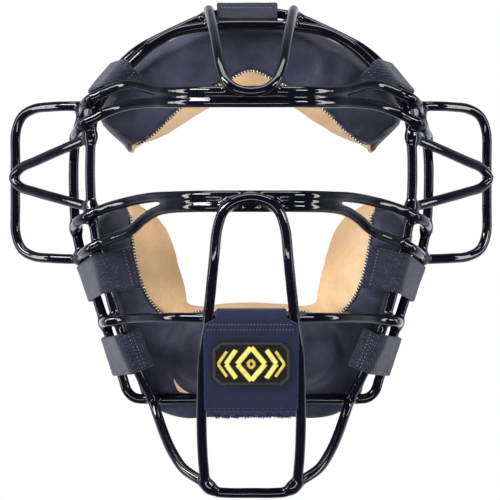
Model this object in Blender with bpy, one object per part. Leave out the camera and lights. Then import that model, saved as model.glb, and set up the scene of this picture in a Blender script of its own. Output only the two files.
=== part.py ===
"""A wire catcher's mask: welded cage, forehead pad, chin pad and the eight hook-and-loop tabs that hold the pads.

Lists of places are in millimetres. +Z is up, the wearer looks along -Y, and the origin is the middle of the
rear wire's plane, level with the wearer's nose. "Left" is the -X side. The cage is symmetric about X = 0.
"""

import math

import bmesh
import bpy
from mathutils import Quaternion, Vector

MM = 0.001
WIRE_RADIUS = 2.8
GAP = 0.3

SKIN_THICKNESS = 1.2
WEBBING_THICKNESS = 2.0
WRAP_GAP = 0.45
PATCH_THICKNESS = 0.9
TAB_RADIUS = WIRE_RADIUS + WRAP_GAP + WEBBING_THICKNESS / 2
HINGE_RADIUS = WIRE_RADIUS + WRAP_GAP + WEBBING_THICKNESS

WIRE_STEP = 13.0
WIRE_TURN = math.radians(16)
SAMPLES_PER_SPAN = 12

# Right halves of the symmetric wires, from the middle outward.
REAR_LOOP = [
    (0, 0, 132.6),
    (14, 0, 131.8),
    (26, 0, 129.2),
    (40, 0, 123.2),
    (53.5, 0, 116.7),
    (61, 0, 112.6),
    (70, 0, 105.4),
    (84, 0, 89.5),
    (93, 0, 77),
    (97.2, 0, 64),
    (98.7, 0, 50),
    (98.7, 0, 31),
    (97.4, 0, 11),
    (94.3, 0, -3),
    (89.5, 0, -16),
    (84.6, 0, -31),
    (77, 0, -54),
    (71.2, 0, -72),
    (69, 0, -78.5),
    (65, 0, -82.2),
    (58, 0, -83),
    (30, 0, -83),
    (0, 0, -83),
]
FRONT_LOOP = [
    (0, -24, 123.5),
    (25, -24, 122.6),
    (41, -24.4, 119.6),
    (52, -25.2, 114),
    (58, -26, 109.6),
    (65.5, -26, 102.5),
    (73, -26, 94.5),
    (80, -26, 86),
    (84.8, -26, 77.5),
    (87, -26, 70),
    (88.1, -26, 56),
    (88.1, -26, 32),
    (86.8, -26, 17),
    (84.4, -26, 4),
    (80.5, -26, -12),
    (76, -26, -30),
    (71.2, -24.5, -45),
    (65.3, -20.4, -60),
    (59.4, -12.5, -73.5),
    (55, -6.1, -83),
    (51.8, -9.6, -91.5),
    (48.4, -18.5, -100),
    (43.6, -30, -109.5),
    (36.8, -41, -118.6),
    (26.8, -49.6, -124.8),
    (22.4, -51, -128),
]
NOSE_RING = [
    (0, -104, 27.1),
    (8.4, -104, 25.3),
    (14.1, -103.9, 20.9),
    (17.6, -103.6, 11.5),
    (19.4, -101, -4.2),
    (21.6, -92.4, -24.7),
    (23.2, -86.6, -38),
    (25.2, -81.6, -51),
    (26.4, -70, -80),
    (26.5, -63.6, -96.4),
    (25.6, -55.6, -116.4),
    (24.2, -52, -125.5),
    (19.6, -50.1, -130.2),
    (12, -49.8, -131.2),
    (0, -49.8, -131.2),
]
BROW_BAR_UPPER = [
    (0, -88, 83.8),
    (25, -85, 84),
    (42, -72, 84.6),
    (52, -60.5, 85.9),
    (61.5, -49.5, 88.8),
    (68, -43, 89.6),
    (75, -37.4, 87.9),
    (81.5, -32.8, 85.4),
    (87.6, -31, 82.8),
    (91, -24.5, 80.4),
    (92.6, -12, 77.8),
    (93.2, 0, 76.2),
]
BROW_BAR_LOWER = [
    (0, -87.6, 77.9),
    (25, -84.6, 78),
    (42, -71.8, 78.4),
    (52, -60.6, 78.9),
    (64, -48.2, 78.6),
    (73, -39.6, 77),
    (81, -34, 74.3),
    (87.2, -32.4, 71.2),
    (92.1, -29.8, 69.2),
    (95, -20, 66.4),
    (96.8, -10, 64),
    (97.4, 0, 62.4),
]
EYE_BAR_UPPER = [
    (0, -98, 28.5),
    (25, -95, 28.5),
    (42, -80, 28.4),
    (55, -62.5, 28),
    (66, -49, 26.2),
    (78, -38.5, 23.2),
    (84.5, -33.4, 20.8),
    (89.6, -31.7, 18.2),
    (94.2, -25, 16.2),
    (96.8, -13, 13.8),
    (97.6, 0, 12),
]
EYE_BAR_LOWER = [
    (0, -98, 22.6),
    (25, -95, 22.6),
    (42, -79.7, 22.3),
    (50.5, -68.4, 20.7),
    (58, -58.5, 16.4),
    (65, -50, 10.6),
    (75, -40, 6.6),
    (82, -33.2, 4),
    (87.4, -31.4, 1.2),
    (91, -24.5, -1),
    (93.6, -12, -2.8),
    (94.4, 0, -3.4),
]
JAW_BAR = [
    (0, -80, -36),
    (17, -79.9, -36),
    (28, -77.4, -36),
    (44, -66.8, -36.2),
    (57, -51, -36.8),
    (66, -38.6, -37.5),
    (72.8, -32.4, -38.3),
    (78.2, -29.4, -39),
    (80.8, -19, -39.8),
    (81.6, 0, -40.4),
]
FOREHEAD_BAR = [
    (0, -94.2, 83),
    (7.6, -94, 84.4),
    (13, -91.8, 88.6),
    (16.3, -84.6, 96.6),
    (18.3, -72, 107),
    (20.2, -54, 117.3),
    (21.6, -36.4, 124.7),
    (22.8, -20, 130.5),
    (23.6, -9, 132.8),
    (23.9, 0, 129.8),
]
EAR_LOOP = [
    (91, 0, 80),
    (103, 4, 80.3),
    (113, 11, 80.2),
    (122, 18, 79.4),
    (129.4, 23.6, 75.4),
    (133, 26.4, 67),
    (133.4, 27.2, 50),
    (133.4, 27.2, 26),
    (133, 26.4, 8.6),
    (129.4, 23.6, 0.4),
    (122, 18, -3.6),
    (112, 10.4, -4.6),
    (103, 5.2, -5),
    (93.6, 0, -5.2),
]
EAR_BRACE = [
    (87.9, -26, 61.8),
    (105, -10, 55.5),
    (120, 6, 49.8),
    (130.2, 17.4, 45.6),
    (134, 21.3, 40.6),
    (130.2, 17.4, 35.8),
    (120, 6, 32.2),
    (105, -10, 28),
    (87.4, -26, 23.2),
]

# Pad stations from the middle outward: the outer edge, the seam between front cover and face leather, and the
# free inner edge (X, Z); the Y of the front face; how far the front slopes back at its outer edge, from 0,
# upright, to 1; and how much of the full section is left where the pad rounds off.
FOREHEAD_PAD = [
    ((0, 128), (0, 99), (0, 84), -20.4, 0, 1),
    ((21, 125.4), (13, 95.6), (9, 82.4), -20.4, 0, 1),
    ((39, 118.4), (25, 88.6), (19.5, 78), -20.8, 0, 1),
    ((56.5, 109.6), (36, 80.4), (29, 73), -22.4, 0, 1),
    ((69.5, 98.6), (43.6, 73.6), (38, 68.2), -22.6, 0, 1),
    ((80.5, 85.6), (50, 67.6), (46, 63), -22.6, 0, 1),
    ((85, 74.4), (56, 62), (53.4, 58.8), -22.6, 0, 0.94),
    ((79.6, 66.2), (60.2, 58.6), (58.2, 56.8), -22, 0, 0.78),
    ((72.4, 59), (64.4, 56), (63, 55.6), -20, 0, 0.4),
]
CHIN_PAD = [
    ((0, -93.6), (0, -34), (0, -28.8), -24, 1, 1),
    ((21, -94.2), (19, -33.4), (15, -28.8), -24, 1, 1),
    ((41, -93.6), (38, -31.6), (27, -28.8), -22, 1, 1),
    ((58.5, -86), (50, -31), (33.6, -28), -16, 0.9, 1),
    ((66, -70.4), (55.2, -30.4), (35.6, -24), -13, 0.3, 1),
    ((73, -49.4), (57.8, -26), (37, -17.6), -18.6, 0, 1),
    ((79.4, -28.6), (60.2, -19), (39, -10), -22.6, 0, 1),
    ((86, -8), (63.4, -8), (41.6, -1), -22.6, 0, 1),
    ((91.2, 8), (65.6, 7), (45.4, 11), -22.6, 0, 0.96),
    ((90.4, 17.4), (65.4, 17.4), (48.4, 18.6), -22, 0, 0.8),
    ((87, 23.6), (66, 23.6), (53, 23.6), -20, 0, 0.4),
]
PAD_BACK = 13.0
FULL_SEAM_REACH = 24.0
STATIONS_PER_SPAN = 2
SEAM_INDEX = 8
SEAM_GAP = 0.35
FOAM_GAP = 0.5

# Side tabs: the height at which each crosses the front wire, its widths there and at the rear wire, how much lower
# it crosses the rear wire, how far its flap reaches inward, the flap's two ends along the wire, how much its lower
# end rises toward the tip, and how far behind the wire's centre the pad's face is.
SIDE_TABS = {
    "upper": {
        "height": 94.8,
        "width": 18.5,
        "rear_width": 20.0,
        "sweep": 6.2,
        "reach": 9.5,
        "flap": (-9.0, 5.4),
        "slant": 6.3,
        "pad": 3.4,
    },
    "cheek": {
        "height": -12.4,
        "width": 22.4,
        "rear_width": 21.4,
        "sweep": 2.2,
        "reach": 18.0,
        "flap": (-10.6, 11.0),
        "slant": -2.0,
        "pad": 3.1,
    },
    "jaw": {
        "height": -56.0,
        "width": 23.6,
        "rear_width": 22.4,
        "sweep": -1.2,
        "reach": 9.8,
        "flap": (-11.2, 11.2),
        "slant": -1.0,
        "pad": 3.4,
    },
}
TAB_STATIONS = 4
TAB_WRAP_BEHIND = 115.0
TAB_FOLD_CLEARANCE = 15.0
FLAP_DROP = 3.4
PATCH_START = 4.0
PATCH_MARGIN = 1.5
TOP_TAB_HALF_WIDTH = 17.0
TOP_TAB_MIDDLE = -2.2
TOP_TAB_LEAN = math.radians(120)
TOP_TAB_REACH = 19.0
CHIN_TAB_ROOT = (-25.8, -50.0)
CHIN_NECK_HALF_WIDTH = 17.5
CHIN_FLAP_HALF_WIDTH = 25.0
CHIN_FLAP_TOP = -36.0
CHIN_FLAP_BOTTOM = -84.5
CHIN_PILE_BOTTOM = -88.5
CHIN_PILE_THICKNESS = 1.6
EMBLEM_SIZE = (42.0, 26.0)
EMBLEM_PLACE = 0.45

# Colour, roughness and metallic value.
FINISHES = {
    "cage": ((0.008, 0.008, 0.018, 1), 0.14, 0.0),
    "vinyl": ((0.03, 0.033, 0.055, 1), 0.5, 0.0),
    "leather": ((0.75, 0.51, 0.3, 1), 0.62, 0.0),
    "foam": ((0.2, 0.2, 0.21, 1), 0.9, 0.0),
    "webbing": ((0.045, 0.047, 0.115, 1), 0.75, 0.0),
    "hook": ((0.02, 0.02, 0.03, 1), 0.7, 0.0),
    "pile": ((0.02, 0.035, 0.14, 1), 0.95, 0.0),
    "emblem": ((0.75, 0.62, 0.12, 1), 0.45, 0.0),
}


def clear_scene():
    for obj in list(bpy.data.objects):
        bpy.data.objects.remove(obj, do_unlink=True)


def new_collection(name):
    collection = bpy.data.collections.new(name)
    bpy.context.scene.collection.children.link(collection)
    return collection


def new_material(name, finish):
    colour, roughness, metallic = finish
    material = bpy.data.materials.new(name)
    material.use_nodes = True
    shader = material.node_tree.nodes["Principled BSDF"]
    shader.inputs["Base Color"].default_value = colour
    shader.inputs["Roughness"].default_value = roughness
    shader.inputs["Metallic"].default_value = metallic
    return material


def mirrored(point):
    return Vector((-point[0], point[1], point[2]))


def spline(points, closed=False):
    """A smooth line through the points, sampled finely: centripetal Catmull-Rom."""
    points = [Vector(point) for point in points]
    if closed:
        ring = [points[-1]] + points + points[:2]
    else:
        ring = [2 * points[0] - points[1]] + points + [2 * points[-1] - points[-2]]
    line = []
    for before, start, end, after in zip(ring, ring[1:], ring[2:], ring[3:]):
        t1 = (start - before).length ** 0.5
        t2 = t1 + (end - start).length ** 0.5
        t3 = t2 + (after - end).length ** 0.5
        for step in range(SAMPLES_PER_SPAN):
            t = t1 + (t2 - t1) * step / SAMPLES_PER_SPAN
            a1 = before.lerp(start, t / t1)
            a2 = start.lerp(end, (t - t1) / (t2 - t1))
            a3 = end.lerp(after, (t - t2) / (t3 - t2))
            b1 = a1.lerp(a2, t / t2)
            b2 = a2.lerp(a3, (t - t1) / (t3 - t1))
            line.append(b1.lerp(b2, (t - t1) / (t2 - t1)))
    if not closed:
        line.append(points[-1])
    return line


def both_halves(half, closed):
    """The whole wire from its right half, left end first."""
    left = [mirrored(point) for point in reversed(half[1:])]
    if closed:
        left = left[1:]
    return left + [Vector(point) for point in half]


def thinned(line, closed=False):
    """The samples that a wire needs: one for each step of length or turn."""
    kept = [line[0]]
    length = 0.0
    turn = 0.0
    for before, here, after in zip(line, line[1:], line[2:]):
        length += (here - before).length
        turn += (here - before).angle(after - here)
        if length > WIRE_STEP or turn > WIRE_TURN:
            kept.append(here)
            length = 0.0
            turn = 0.0
    if not closed:
        kept.append(line[-1])
    return kept


def end_clearance(line, target):
    """How far the rim of a wire's last end is from the surface of the wire that it's welded to."""
    along = (line[-1] - line[-2]).normalized()
    side = along.orthogonal().normalized() * WIRE_RADIUS
    turns = [Quaternion(along, math.radians(angle)) for angle in range(0, 360, 30)]
    rim = [line[-1]] + [line[-1] + turn @ side for turn in turns]
    return min((nearest_point(target, point) - point).length for point in rim) - WIRE_RADIUS


def butted(line, target):
    """A line that runs to the centre of another wire, cut back so that its end stands just clear of that wire."""
    while end_clearance(line, target) < GAP:
        line = line[:-1]
    return line


def close_up(line):
    return line + line[:1]


def add_wire(name, line, closed, collection, material):
    points = thinned(line, closed)
    curve = bpy.data.curves.new(name, "CURVE")
    curve.dimensions = "3D"
    curve.bevel_depth = WIRE_RADIUS * MM
    curve.bevel_resolution = 2
    curve.use_fill_caps = True
    track = curve.splines.new("POLY")
    track.points.add(len(points) - 1)
    for place, point in zip(track.points, points):
        place.co = (*(point * MM), 1)
    track.use_cyclic_u = closed
    track.use_smooth = True
    obj = bpy.data.objects.new(name, curve)
    collection.objects.link(obj)
    curve.materials.append(material)
    return obj


def add_loft(name, rings, collection, material, origin=None):
    """A closed solid through rings of points, capped at both ends; a moving piece has its origin on its hinge.

    Each ring's points run along one face and back along the other.
    """
    mesh_maker = bmesh.new()
    base = origin if origin is not None else Vector((0, 0, 0))
    corners = [[mesh_maker.verts.new((point - base) * MM) for point in ring] for ring in rings]
    for ring, following in zip(corners, corners[1:]):
        count = len(ring)
        for index in range(count):
            after = (index + 1) % count
            mesh_maker.faces.new((ring[index], ring[after], following[after], following[index]))
    for ring in (corners[0], corners[-1]):
        for index in range(len(ring) // 2 - 1):
            mesh_maker.faces.new((ring[index], ring[index + 1], ring[-2 - index], ring[-1 - index]))
        if len(ring) % 2:
            last = len(ring) // 2
            mesh_maker.faces.new((ring[last - 1], ring[last], ring[last + 1]))
    bmesh.ops.triangulate(mesh_maker, faces=mesh_maker.faces[:])
    bmesh.ops.recalc_face_normals(mesh_maker, faces=mesh_maker.faces[:])
    mesh = bpy.data.meshes.new(name)
    mesh_maker.to_mesh(mesh)
    mesh_maker.free()
    mesh.materials.append(material)
    mesh.shade_smooth()
    mesh.set_sharp_from_angle(angle=math.radians(40))
    obj = bpy.data.objects.new(name, mesh)
    obj.location = base * MM
    collection.objects.link(obj)
    return obj


def offset_line(line, distance, closed=False):
    """A flat line moved sideways by a distance, to the left of its direction."""
    count = len(line)
    moved = []
    for index, point in enumerate(line):
        before = line[index - 1] if closed or index else point
        after = line[(index + 1) % count] if closed or index < count - 1 else point
        along = (after - before).normalized()
        moved.append(point + Vector((-along.y, along.x)) * distance)
    return moved


def band_outline(line, thickness):
    """The outline of a band of even thickness about a flat line."""
    return offset_line(line, thickness / 2) + list(reversed(offset_line(line, -thickness / 2)))


def arc(centre, radius, start, end, steps):
    """Points of a flat arc, angles in degrees."""
    angles = [math.radians(start + (end - start) * step / steps) for step in range(steps + 1)]
    return [centre + Vector((math.cos(angle), math.sin(angle))) * radius for angle in angles]


def cage_lines():
    """Every wire of the cage: name, fine centre line, whether it closes."""
    wires = {
        "rear_loop": (both_halves(REAR_LOOP, True), True),
        "front_loop": (both_halves(FRONT_LOOP, False), False),
        "nose_ring": (both_halves(NOSE_RING, True), True),
        "brow_bar_upper": (both_halves(BROW_BAR_UPPER, False), False),
        "brow_bar_lower": (both_halves(BROW_BAR_LOWER, False), False),
        "eye_bar_upper": (both_halves(EYE_BAR_UPPER, False), False),
        "eye_bar_lower": (both_halves(EYE_BAR_LOWER, False), False),
        "jaw_bar": (both_halves(JAW_BAR, False), False),
        "forehead_bar": (both_halves(FOREHEAD_BAR, False), False),
        "ear_loop_right": (EAR_LOOP, False),
        "ear_brace_right": (EAR_BRACE, False),
        "ear_loop_left": ([mirrored(point) for point in EAR_LOOP], False),
        "ear_brace_left": ([mirrored(point) for point in EAR_BRACE], False),
    }
    lines = {name: (spline(points, closed), closed) for name, (points, closed) in wires.items()}
    rear = close_up(thinned(lines["rear_loop"][0], True))
    front = thinned(lines["front_loop"][0])
    ring = close_up(thinned(lines["nose_ring"][0], True))
    for name, (line, closed) in lines.items():
        if closed:
            continue
        target = ring if name == "front_loop" else front if name.startswith("ear_brace") else rear
        line = butted(line, target)
        lines[name] = (list(reversed(butted(list(reversed(line)), target))), closed)
    return lines


def pad_outline(station):
    """A pad's outer edge, inward direction and outline there: u runs inward from the outer edge, v backward."""
    outer = Vector(station[0:2])
    seam = Vector(station[2:4])
    free = Vector(station[4:6])
    front, slope, fullness = station[6:9]
    inward = (free - outer).normalized()
    seam_u = (seam - outer).dot(inward)
    free_u = (free - outer).length
    rim = free_u - seam_u
    size = min(1, seam_u / FULL_SEAM_REACH)
    upright = [
        (5 * size, PAD_BACK - 1),
        (0.4, 8),
        (0.5, 0),
        (2.4 * size, -12),
        (5.6 * size, front + 1.4),
        (9.5 * size, front),
        (seam_u - 6 * size, front),
        (seam_u - 1.8 * size, front + 0.7),
    ]
    sloped = [
        (5 * size, PAD_BACK - 1),
        (0.4, 9.6),
        (2.6 * size, 6),
        (10.8 * size, 4.6),
        (17.4 * size, -0.4),
        (25.5 * size, front + 7),
        (seam_u * 0.66, front + 0.8),
        (seam_u - 3 * size, front + 0.4),
    ]
    outline = [Vector(a).lerp(Vector(b), slope) for a, b in zip(upright, sloped)]
    outline += [
        Vector((seam_u, front + 3)),
        Vector((seam_u + rim * 0.4, front * 0.55)),
        Vector((seam_u + rim * 0.82, front * 0.05)),
        Vector((free_u, 5)),
        Vector((free_u - 2 * size, PAD_BACK - 2)),
        Vector((free_u * 0.74, PAD_BACK)),
        Vector((free_u * 0.44, PAD_BACK - 0.6)),
    ]
    middle = Vector((free_u * 0.5, (front + PAD_BACK) / 2))
    return outer, inward, [middle + (point - middle) * fullness for point in outline]


def pad_stations(half):
    """The stations of both halves, with smooth ones between them."""
    right = [(*outer, *seam, *free, *rest) for outer, seam, free, *rest in half]
    left = [(-ox, oz, -sx, sz, -fx, fz, *rest) for ox, oz, sx, sz, fx, fz, *rest in right]
    keys = list(reversed(left[1:])) + right
    keys = [keys[0]] + keys + [keys[-1]]
    stations = []
    for before, start, end, after in zip(keys, keys[1:], keys[2:], keys[3:]):
        for step in range(STATIONS_PER_SPAN):
            part = step / STATIONS_PER_SPAN
            stations.append(
                [
                    b + 0.5 * part * (c - a + part * (2 * a - 5 * b + 4 * c - d + part * (3 * (b - c) + d - a)))
                    for a, b, c, d in zip(before, start, end, after)
                ]
            )
    stations.append(keys[-1])
    return stations


def inset(outline, distance):
    """A closed outline moved inward; pad outlines run anticlockwise, seen with u to the right and v up."""
    return offset_line(outline, distance, closed=True)


def placed(outer, inward, outline):
    """A flat pad outline put into its place."""
    return [
        Vector((outer.x + inward.x * point.x, point.y, outer.y + inward.y * point.x)) for point in outline
    ]


def skin_outline(outline, first, last):
    """The outline of a pad's skin from one point of the pad's outline to another."""
    count = len(outline)
    chosen = [index % count for index in range(first, last + 1)]
    inner = inset(outline, SKIN_THICKNESS)
    sides = []
    for line in ([outline[index] for index in chosen], [inner[index] for index in chosen]):
        line[0] = line[0] + (line[1] - line[0]).normalized() * SEAM_GAP
        line[-1] = line[-1] + (line[-2] - line[-1]).normalized() * SEAM_GAP
        sides.append(line)
    return sides[0] + list(reversed(sides[1]))


def add_pad(name, half, collection, materials):
    """A pad's three pieces: the foam core, the front cover, and the leather that lies on the face."""
    covers = []
    leathers = []
    cores = []
    for station in pad_stations(half):
        outer, inward, outline = pad_outline(station)
        covers.append(placed(outer, inward, skin_outline(outline, 0, SEAM_INDEX)))
        leathers.append(placed(outer, inward, skin_outline(outline, SEAM_INDEX, len(outline))))
        cores.append(placed(outer, inward, inset(outline, SKIN_THICKNESS + FOAM_GAP)))
    add_loft(name + "_cover", covers, collection, materials["vinyl"])
    add_loft(name + "_leather", leathers, collection, materials["leather"])
    add_loft(name + "_foam", cores[1:-1], collection, materials["foam"])


def length_along(line):
    """The running length at each sample of a line."""
    lengths = [0.0]
    for here, following in zip(line, line[1:]):
        lengths.append(lengths[-1] + (following - here).length)
    return lengths


def at_length(line, length):
    """The point of a line at a length from its start, and the direction there."""
    lengths = length_along(line)
    index = max(i for i, value in enumerate(lengths[:-1]) if value <= length)
    span = line[index + 1] - line[index]
    return line[index] + span.normalized() * (length - lengths[index]), span.normalized()


def length_at_height(line, height):
    """How far along a falling line its height is first reached."""
    lengths = length_along(line)
    index = next(i for i, point in enumerate(line) if point.z < height) - 1
    part = (line[index].z - height) / (line[index].z - line[index + 1].z)
    return lengths[index] + (lengths[index + 1] - lengths[index]) * part


def nearest_point(line, target):
    places = []
    for start, end in zip(line, line[1:]):
        span = end - start
        part = min(max((target - start).dot(span) / span.length_squared, 0), 1)
        places.append(start + span * part)
    return min(places, key=lambda place: (place - target).length)


def side_tab_frame(kind):
    """Where a right-hand side tab folds: its hinge point, and its directions along the wire, inward and forward."""
    front = spline(FRONT_LOOP)
    place, along = at_length(front, length_at_height(front, SIDE_TABS[kind]["height"]))
    forward = Vector((0, -1, 0)) + along * along.y
    forward.normalize()
    inward = along.cross(forward)
    if inward.x > 0:
        inward.negate()
    return place + forward * HINGE_RADIUS, along, inward, forward


def side_tab_base(kind):
    """Sections of a side tab's fixed part: from the pad, round both wires, to the fold at the front wire."""
    front = spline(FRONT_LOOP)
    rear = spline(REAR_LOOP)
    tab = SIDE_TABS[kind]
    middle = length_at_height(front, tab["height"])
    fold_forward = side_tab_frame(kind)[3]
    rings = []
    for step in range(TAB_STATIONS + 1):
        part = step / TAB_STATIONS - 0.5
        place, along = at_length(front, middle + tab["width"] * part)
        back = nearest_point(rear, place + along * (tab["sweep"] + (tab["rear_width"] - tab["width"]) * part))
        across = (place - back).normalized()
        outward = across.cross(along).normalized()
        if outward.x < 0:
            outward.negate()
        fold = math.degrees(math.atan2(fold_forward.dot(across), fold_forward.dot(outward)))
        rear_wire = Vector((-(place - back).length, 0))
        line = arc(rear_wire, TAB_RADIUS, 90 + TAB_WRAP_BEHIND, 90, 6)
        line += arc(Vector((0, 0)), TAB_RADIUS, 90, 90 - fold + TAB_FOLD_CLEARANCE, 4)
        rings.append([])
        for point in band_outline(line, WEBBING_THICKNESS):
            wire = 0.0 if point.x > rear_wire.x / 2 else rear_wire.x
            oblique = wire + (point.x - wire) / across.cross(along).length
            rings[-1].append(place + across * oblique + outward * point.y)
    return rings


def side_tab_sheet(kind, near, far, near_faces, far_faces, margin):
    """Sections of a flat piece of a side tab, from near to far inward of the fold.

    Each pair of faces gives the heights of its back and its front over the fold line there; margin keeps its
    ends inside the flap's.
    """
    tab = SIDE_TABS[kind]
    hinge, along, inward, forward = side_tab_frame(kind)
    upper_end, lower_end = tab["flap"]
    rings = []
    for reach, (back, front) in ((near, near_faces), (far, far_faces)):
        low = lower_end - tab["slant"] * reach / tab["reach"] - margin
        high = upper_end + margin
        corner = hinge + inward * reach
        rings.append(
            [
                corner + along * high + forward * back,
                corner + along * high + forward * front,
                corner + along * low + forward * front,
                corner + along * low + forward * back,
            ]
        )
    return rings


def flap_front(kind, reach):
    """Height of a side flap's front face over its hinge line."""
    return -FLAP_DROP * reach / SIDE_TABS[kind]["reach"]


def add_side_tab(kind, side, collection, materials):
    name = kind + ("_right" if side > 0 else "_left")
    tab = SIDE_TABS[kind]

    def on_side(rings):
        return rings if side > 0 else [[mirrored(point) for point in ring] for ring in rings]

    hinge = side_tab_frame(kind)[0]
    hinge = hinge if side > 0 else mirrored(hinge)
    add_loft(name + "_tab_base", on_side(side_tab_base(kind)), collection, materials["webbing"])

    def stack(reach, top, bottom):
        return flap_front(kind, reach) - bottom, flap_front(kind, reach) - top

    hook_top = WEBBING_THICKNESS + GAP
    hook_bottom = hook_top + PATCH_THICKNESS
    start = GAP
    end = tab["reach"]
    flap = side_tab_sheet(
        kind, start, end, stack(start, 0, WEBBING_THICKNESS), stack(end, 0, WEBBING_THICKNESS), 0
    )
    near = PATCH_START
    far = end - PATCH_MARGIN
    hook = side_tab_sheet(
        kind, near, far, stack(near, hook_top, hook_bottom), stack(far, hook_top, hook_bottom), PATCH_MARGIN
    )
    pad_face = -HINGE_RADIUS - tab["pad"] + GAP
    loop_faces = [(pad_face, flap_front(kind, reach) - hook_bottom - GAP) for reach in (near, far)]
    loop = side_tab_sheet(kind, near, far, *loop_faces, PATCH_MARGIN)
    add_loft(name + "_tab_flap", on_side(flap), collection, materials["webbing"], hinge)
    add_loft(name + "_hook_patch", on_side(hook), collection, materials["hook"], hinge)
    add_loft(name + "_loop_patch", on_side(loop), collection, materials["pile"])


def add_band(name, line, thickness, ends, collection, material, origin=None):
    """A straight-edged band across the mask between its two ends in X; its line is flat, (Y, Z)."""
    outline = band_outline(line, thickness)
    rings = [[Vector((x, point.x, point.y)) for point in outline] for x in ends]
    return add_loft(name, rings, collection, material, origin)


def top_tab_frame():
    """Where the top tab folds: its hinge point, the flap's direction and its outward direction, all (Y, Z)."""
    wire = Vector((REAR_LOOP[0][1], REAR_LOOP[0][2]))
    outward = Vector((math.cos(TOP_TAB_LEAN), math.sin(TOP_TAB_LEAN)))
    along = Vector((-outward.y, outward.x))
    return wire, wire + outward * HINGE_RADIUS, along, outward


def add_top_tab(collection, materials):
    wire, hinge, along, outward = top_tab_frame()
    pad_top = Vector((wire.x + TAB_RADIUS, FOREHEAD_PAD[0][0][1] + GAP))
    base = [pad_top] + arc(wire, TAB_RADIUS, 0, math.degrees(TOP_TAB_LEAN) - TAB_FOLD_CLEARANCE, 7)
    ends = (TOP_TAB_MIDDLE - TOP_TAB_HALF_WIDTH, TOP_TAB_MIDDLE + TOP_TAB_HALF_WIDTH)
    add_band("top_tab_base", base, WEBBING_THICKNESS, ends, collection, materials["webbing"])
    origin = Vector((0, hinge.x, hinge.y))
    sheets = (
        ("top_tab_flap", 0, WEBBING_THICKNESS, GAP, TOP_TAB_REACH, 0, "webbing", origin),
        ("top_hook_patch", WEBBING_THICKNESS + GAP, PATCH_THICKNESS, 3.5, TOP_TAB_REACH - 5, 1, "hook", origin),
        (
            "top_loop_patch",
            WEBBING_THICKNESS + 2 * GAP + PATCH_THICKNESS,
            PATCH_THICKNESS,
            3.5,
            TOP_TAB_REACH - 5,
            1,
            "pile",
            None,
        ),
    )
    for name, depth, thickness, near, far, margin, finish, piece_origin in sheets:
        middle = hinge - outward * (depth + thickness / 2)
        line = [middle + along * near, middle + along * far]
        inner = (ends[0] + margin, ends[1] - margin)
        add_band(name, line, thickness, inner, collection, materials[finish], piece_origin)


def chin_tab_frame():
    """The chin flap's hinge point, direction and outward direction (Y, Z): it lies on the nose ring's legs."""
    upper, lower = (Vector(NOSE_RING[index][1:]) for index in (7, 8))
    along = (lower - upper).normalized()
    outward = Vector((along.y, -along.x))
    on_leg = upper + along * ((CHIN_FLAP_TOP - upper.y) / along.y)
    return on_leg, on_leg + outward * HINGE_RADIUS, along, outward


def chin_sheet(depth, thickness, sizes):
    """Sections of a flat piece of the chin tab: how far each is from the fold, and its half width there."""
    hinge, along, outward = chin_tab_frame()[1:]
    rings = []
    for reach, half_width in sizes:
        front = hinge + along * reach - outward * depth
        back = front - outward * thickness
        rings.append(
            [Vector((x, point.x, point.y)) for x, point in ((-half_width, front), (half_width, front))]
            + [Vector((x, point.x, point.y)) for x, point in ((half_width, back), (-half_width, back))]
        )
    return rings


def add_chin_tab(collection, materials):
    leg, hinge, along, outward = chin_tab_frame()
    bar = Vector((JAW_BAR[0][1], JAW_BAR[0][2]))
    pad = Vector(CHIN_TAB_ROOT)
    reach = pad - bar
    leave_pad = math.degrees(math.atan2(reach.y, reach.x) + math.acos(TAB_RADIUS / reach.length))
    over = leg - bar
    cross = math.degrees(math.atan2(over.y, over.x)) % 360 - 90
    fold = math.degrees(math.atan2(outward.y, outward.x)) % 360
    base = [pad] + arc(bar, TAB_RADIUS, leave_pad, cross, 7)
    base += arc(leg, TAB_RADIUS, cross, fold - TAB_FOLD_CLEARANCE, 5)
    neck = (-CHIN_NECK_HALF_WIDTH, CHIN_NECK_HALF_WIDTH)
    add_band("chin_tab_base", base, WEBBING_THICKNESS, neck, collection, materials["webbing"])

    origin = Vector((0, hinge.x, hinge.y))
    length = (CHIN_FLAP_BOTTOM - CHIN_FLAP_TOP) / along.y
    pile_length = (CHIN_PILE_BOTTOM - CHIN_FLAP_TOP) / along.y
    wide = CHIN_FLAP_HALF_WIDTH
    flap = chin_sheet(0, WEBBING_THICKNESS, ((GAP, CHIN_NECK_HALF_WIDTH + 1), (6, wide), (length, wide)))
    add_loft("chin_tab_flap", flap, collection, materials["webbing"], origin)
    hook = chin_sheet(WEBBING_THICKNESS + GAP, PATCH_THICKNESS, ((12, 16), (length - 4, 16)))
    add_loft("chin_hook_patch", hook, collection, materials["hook"], origin)
    pile_depth = WEBBING_THICKNESS + PATCH_THICKNESS + 2 * GAP
    pile = chin_sheet(pile_depth, CHIN_PILE_THICKNESS, ((5, 19), (12, 20.5), (pile_length, 21)))
    add_loft("chin_loop_patch", pile, collection, materials["pile"])
    width, height = EMBLEM_SIZE
    middle = length * EMBLEM_PLACE
    corner = 4.0
    emblem = chin_sheet(
        -GAP - PATCH_THICKNESS,
        PATCH_THICKNESS,
        (
            (middle - height / 2, width / 2 - corner),
            (middle - height / 2 + corner, width / 2),
            (middle + height / 2 - corner, width / 2),
            (middle + height / 2, width / 2 - corner),
        ),
    )
    add_loft("chin_emblem", emblem, collection, materials["emblem"], origin)


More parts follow.
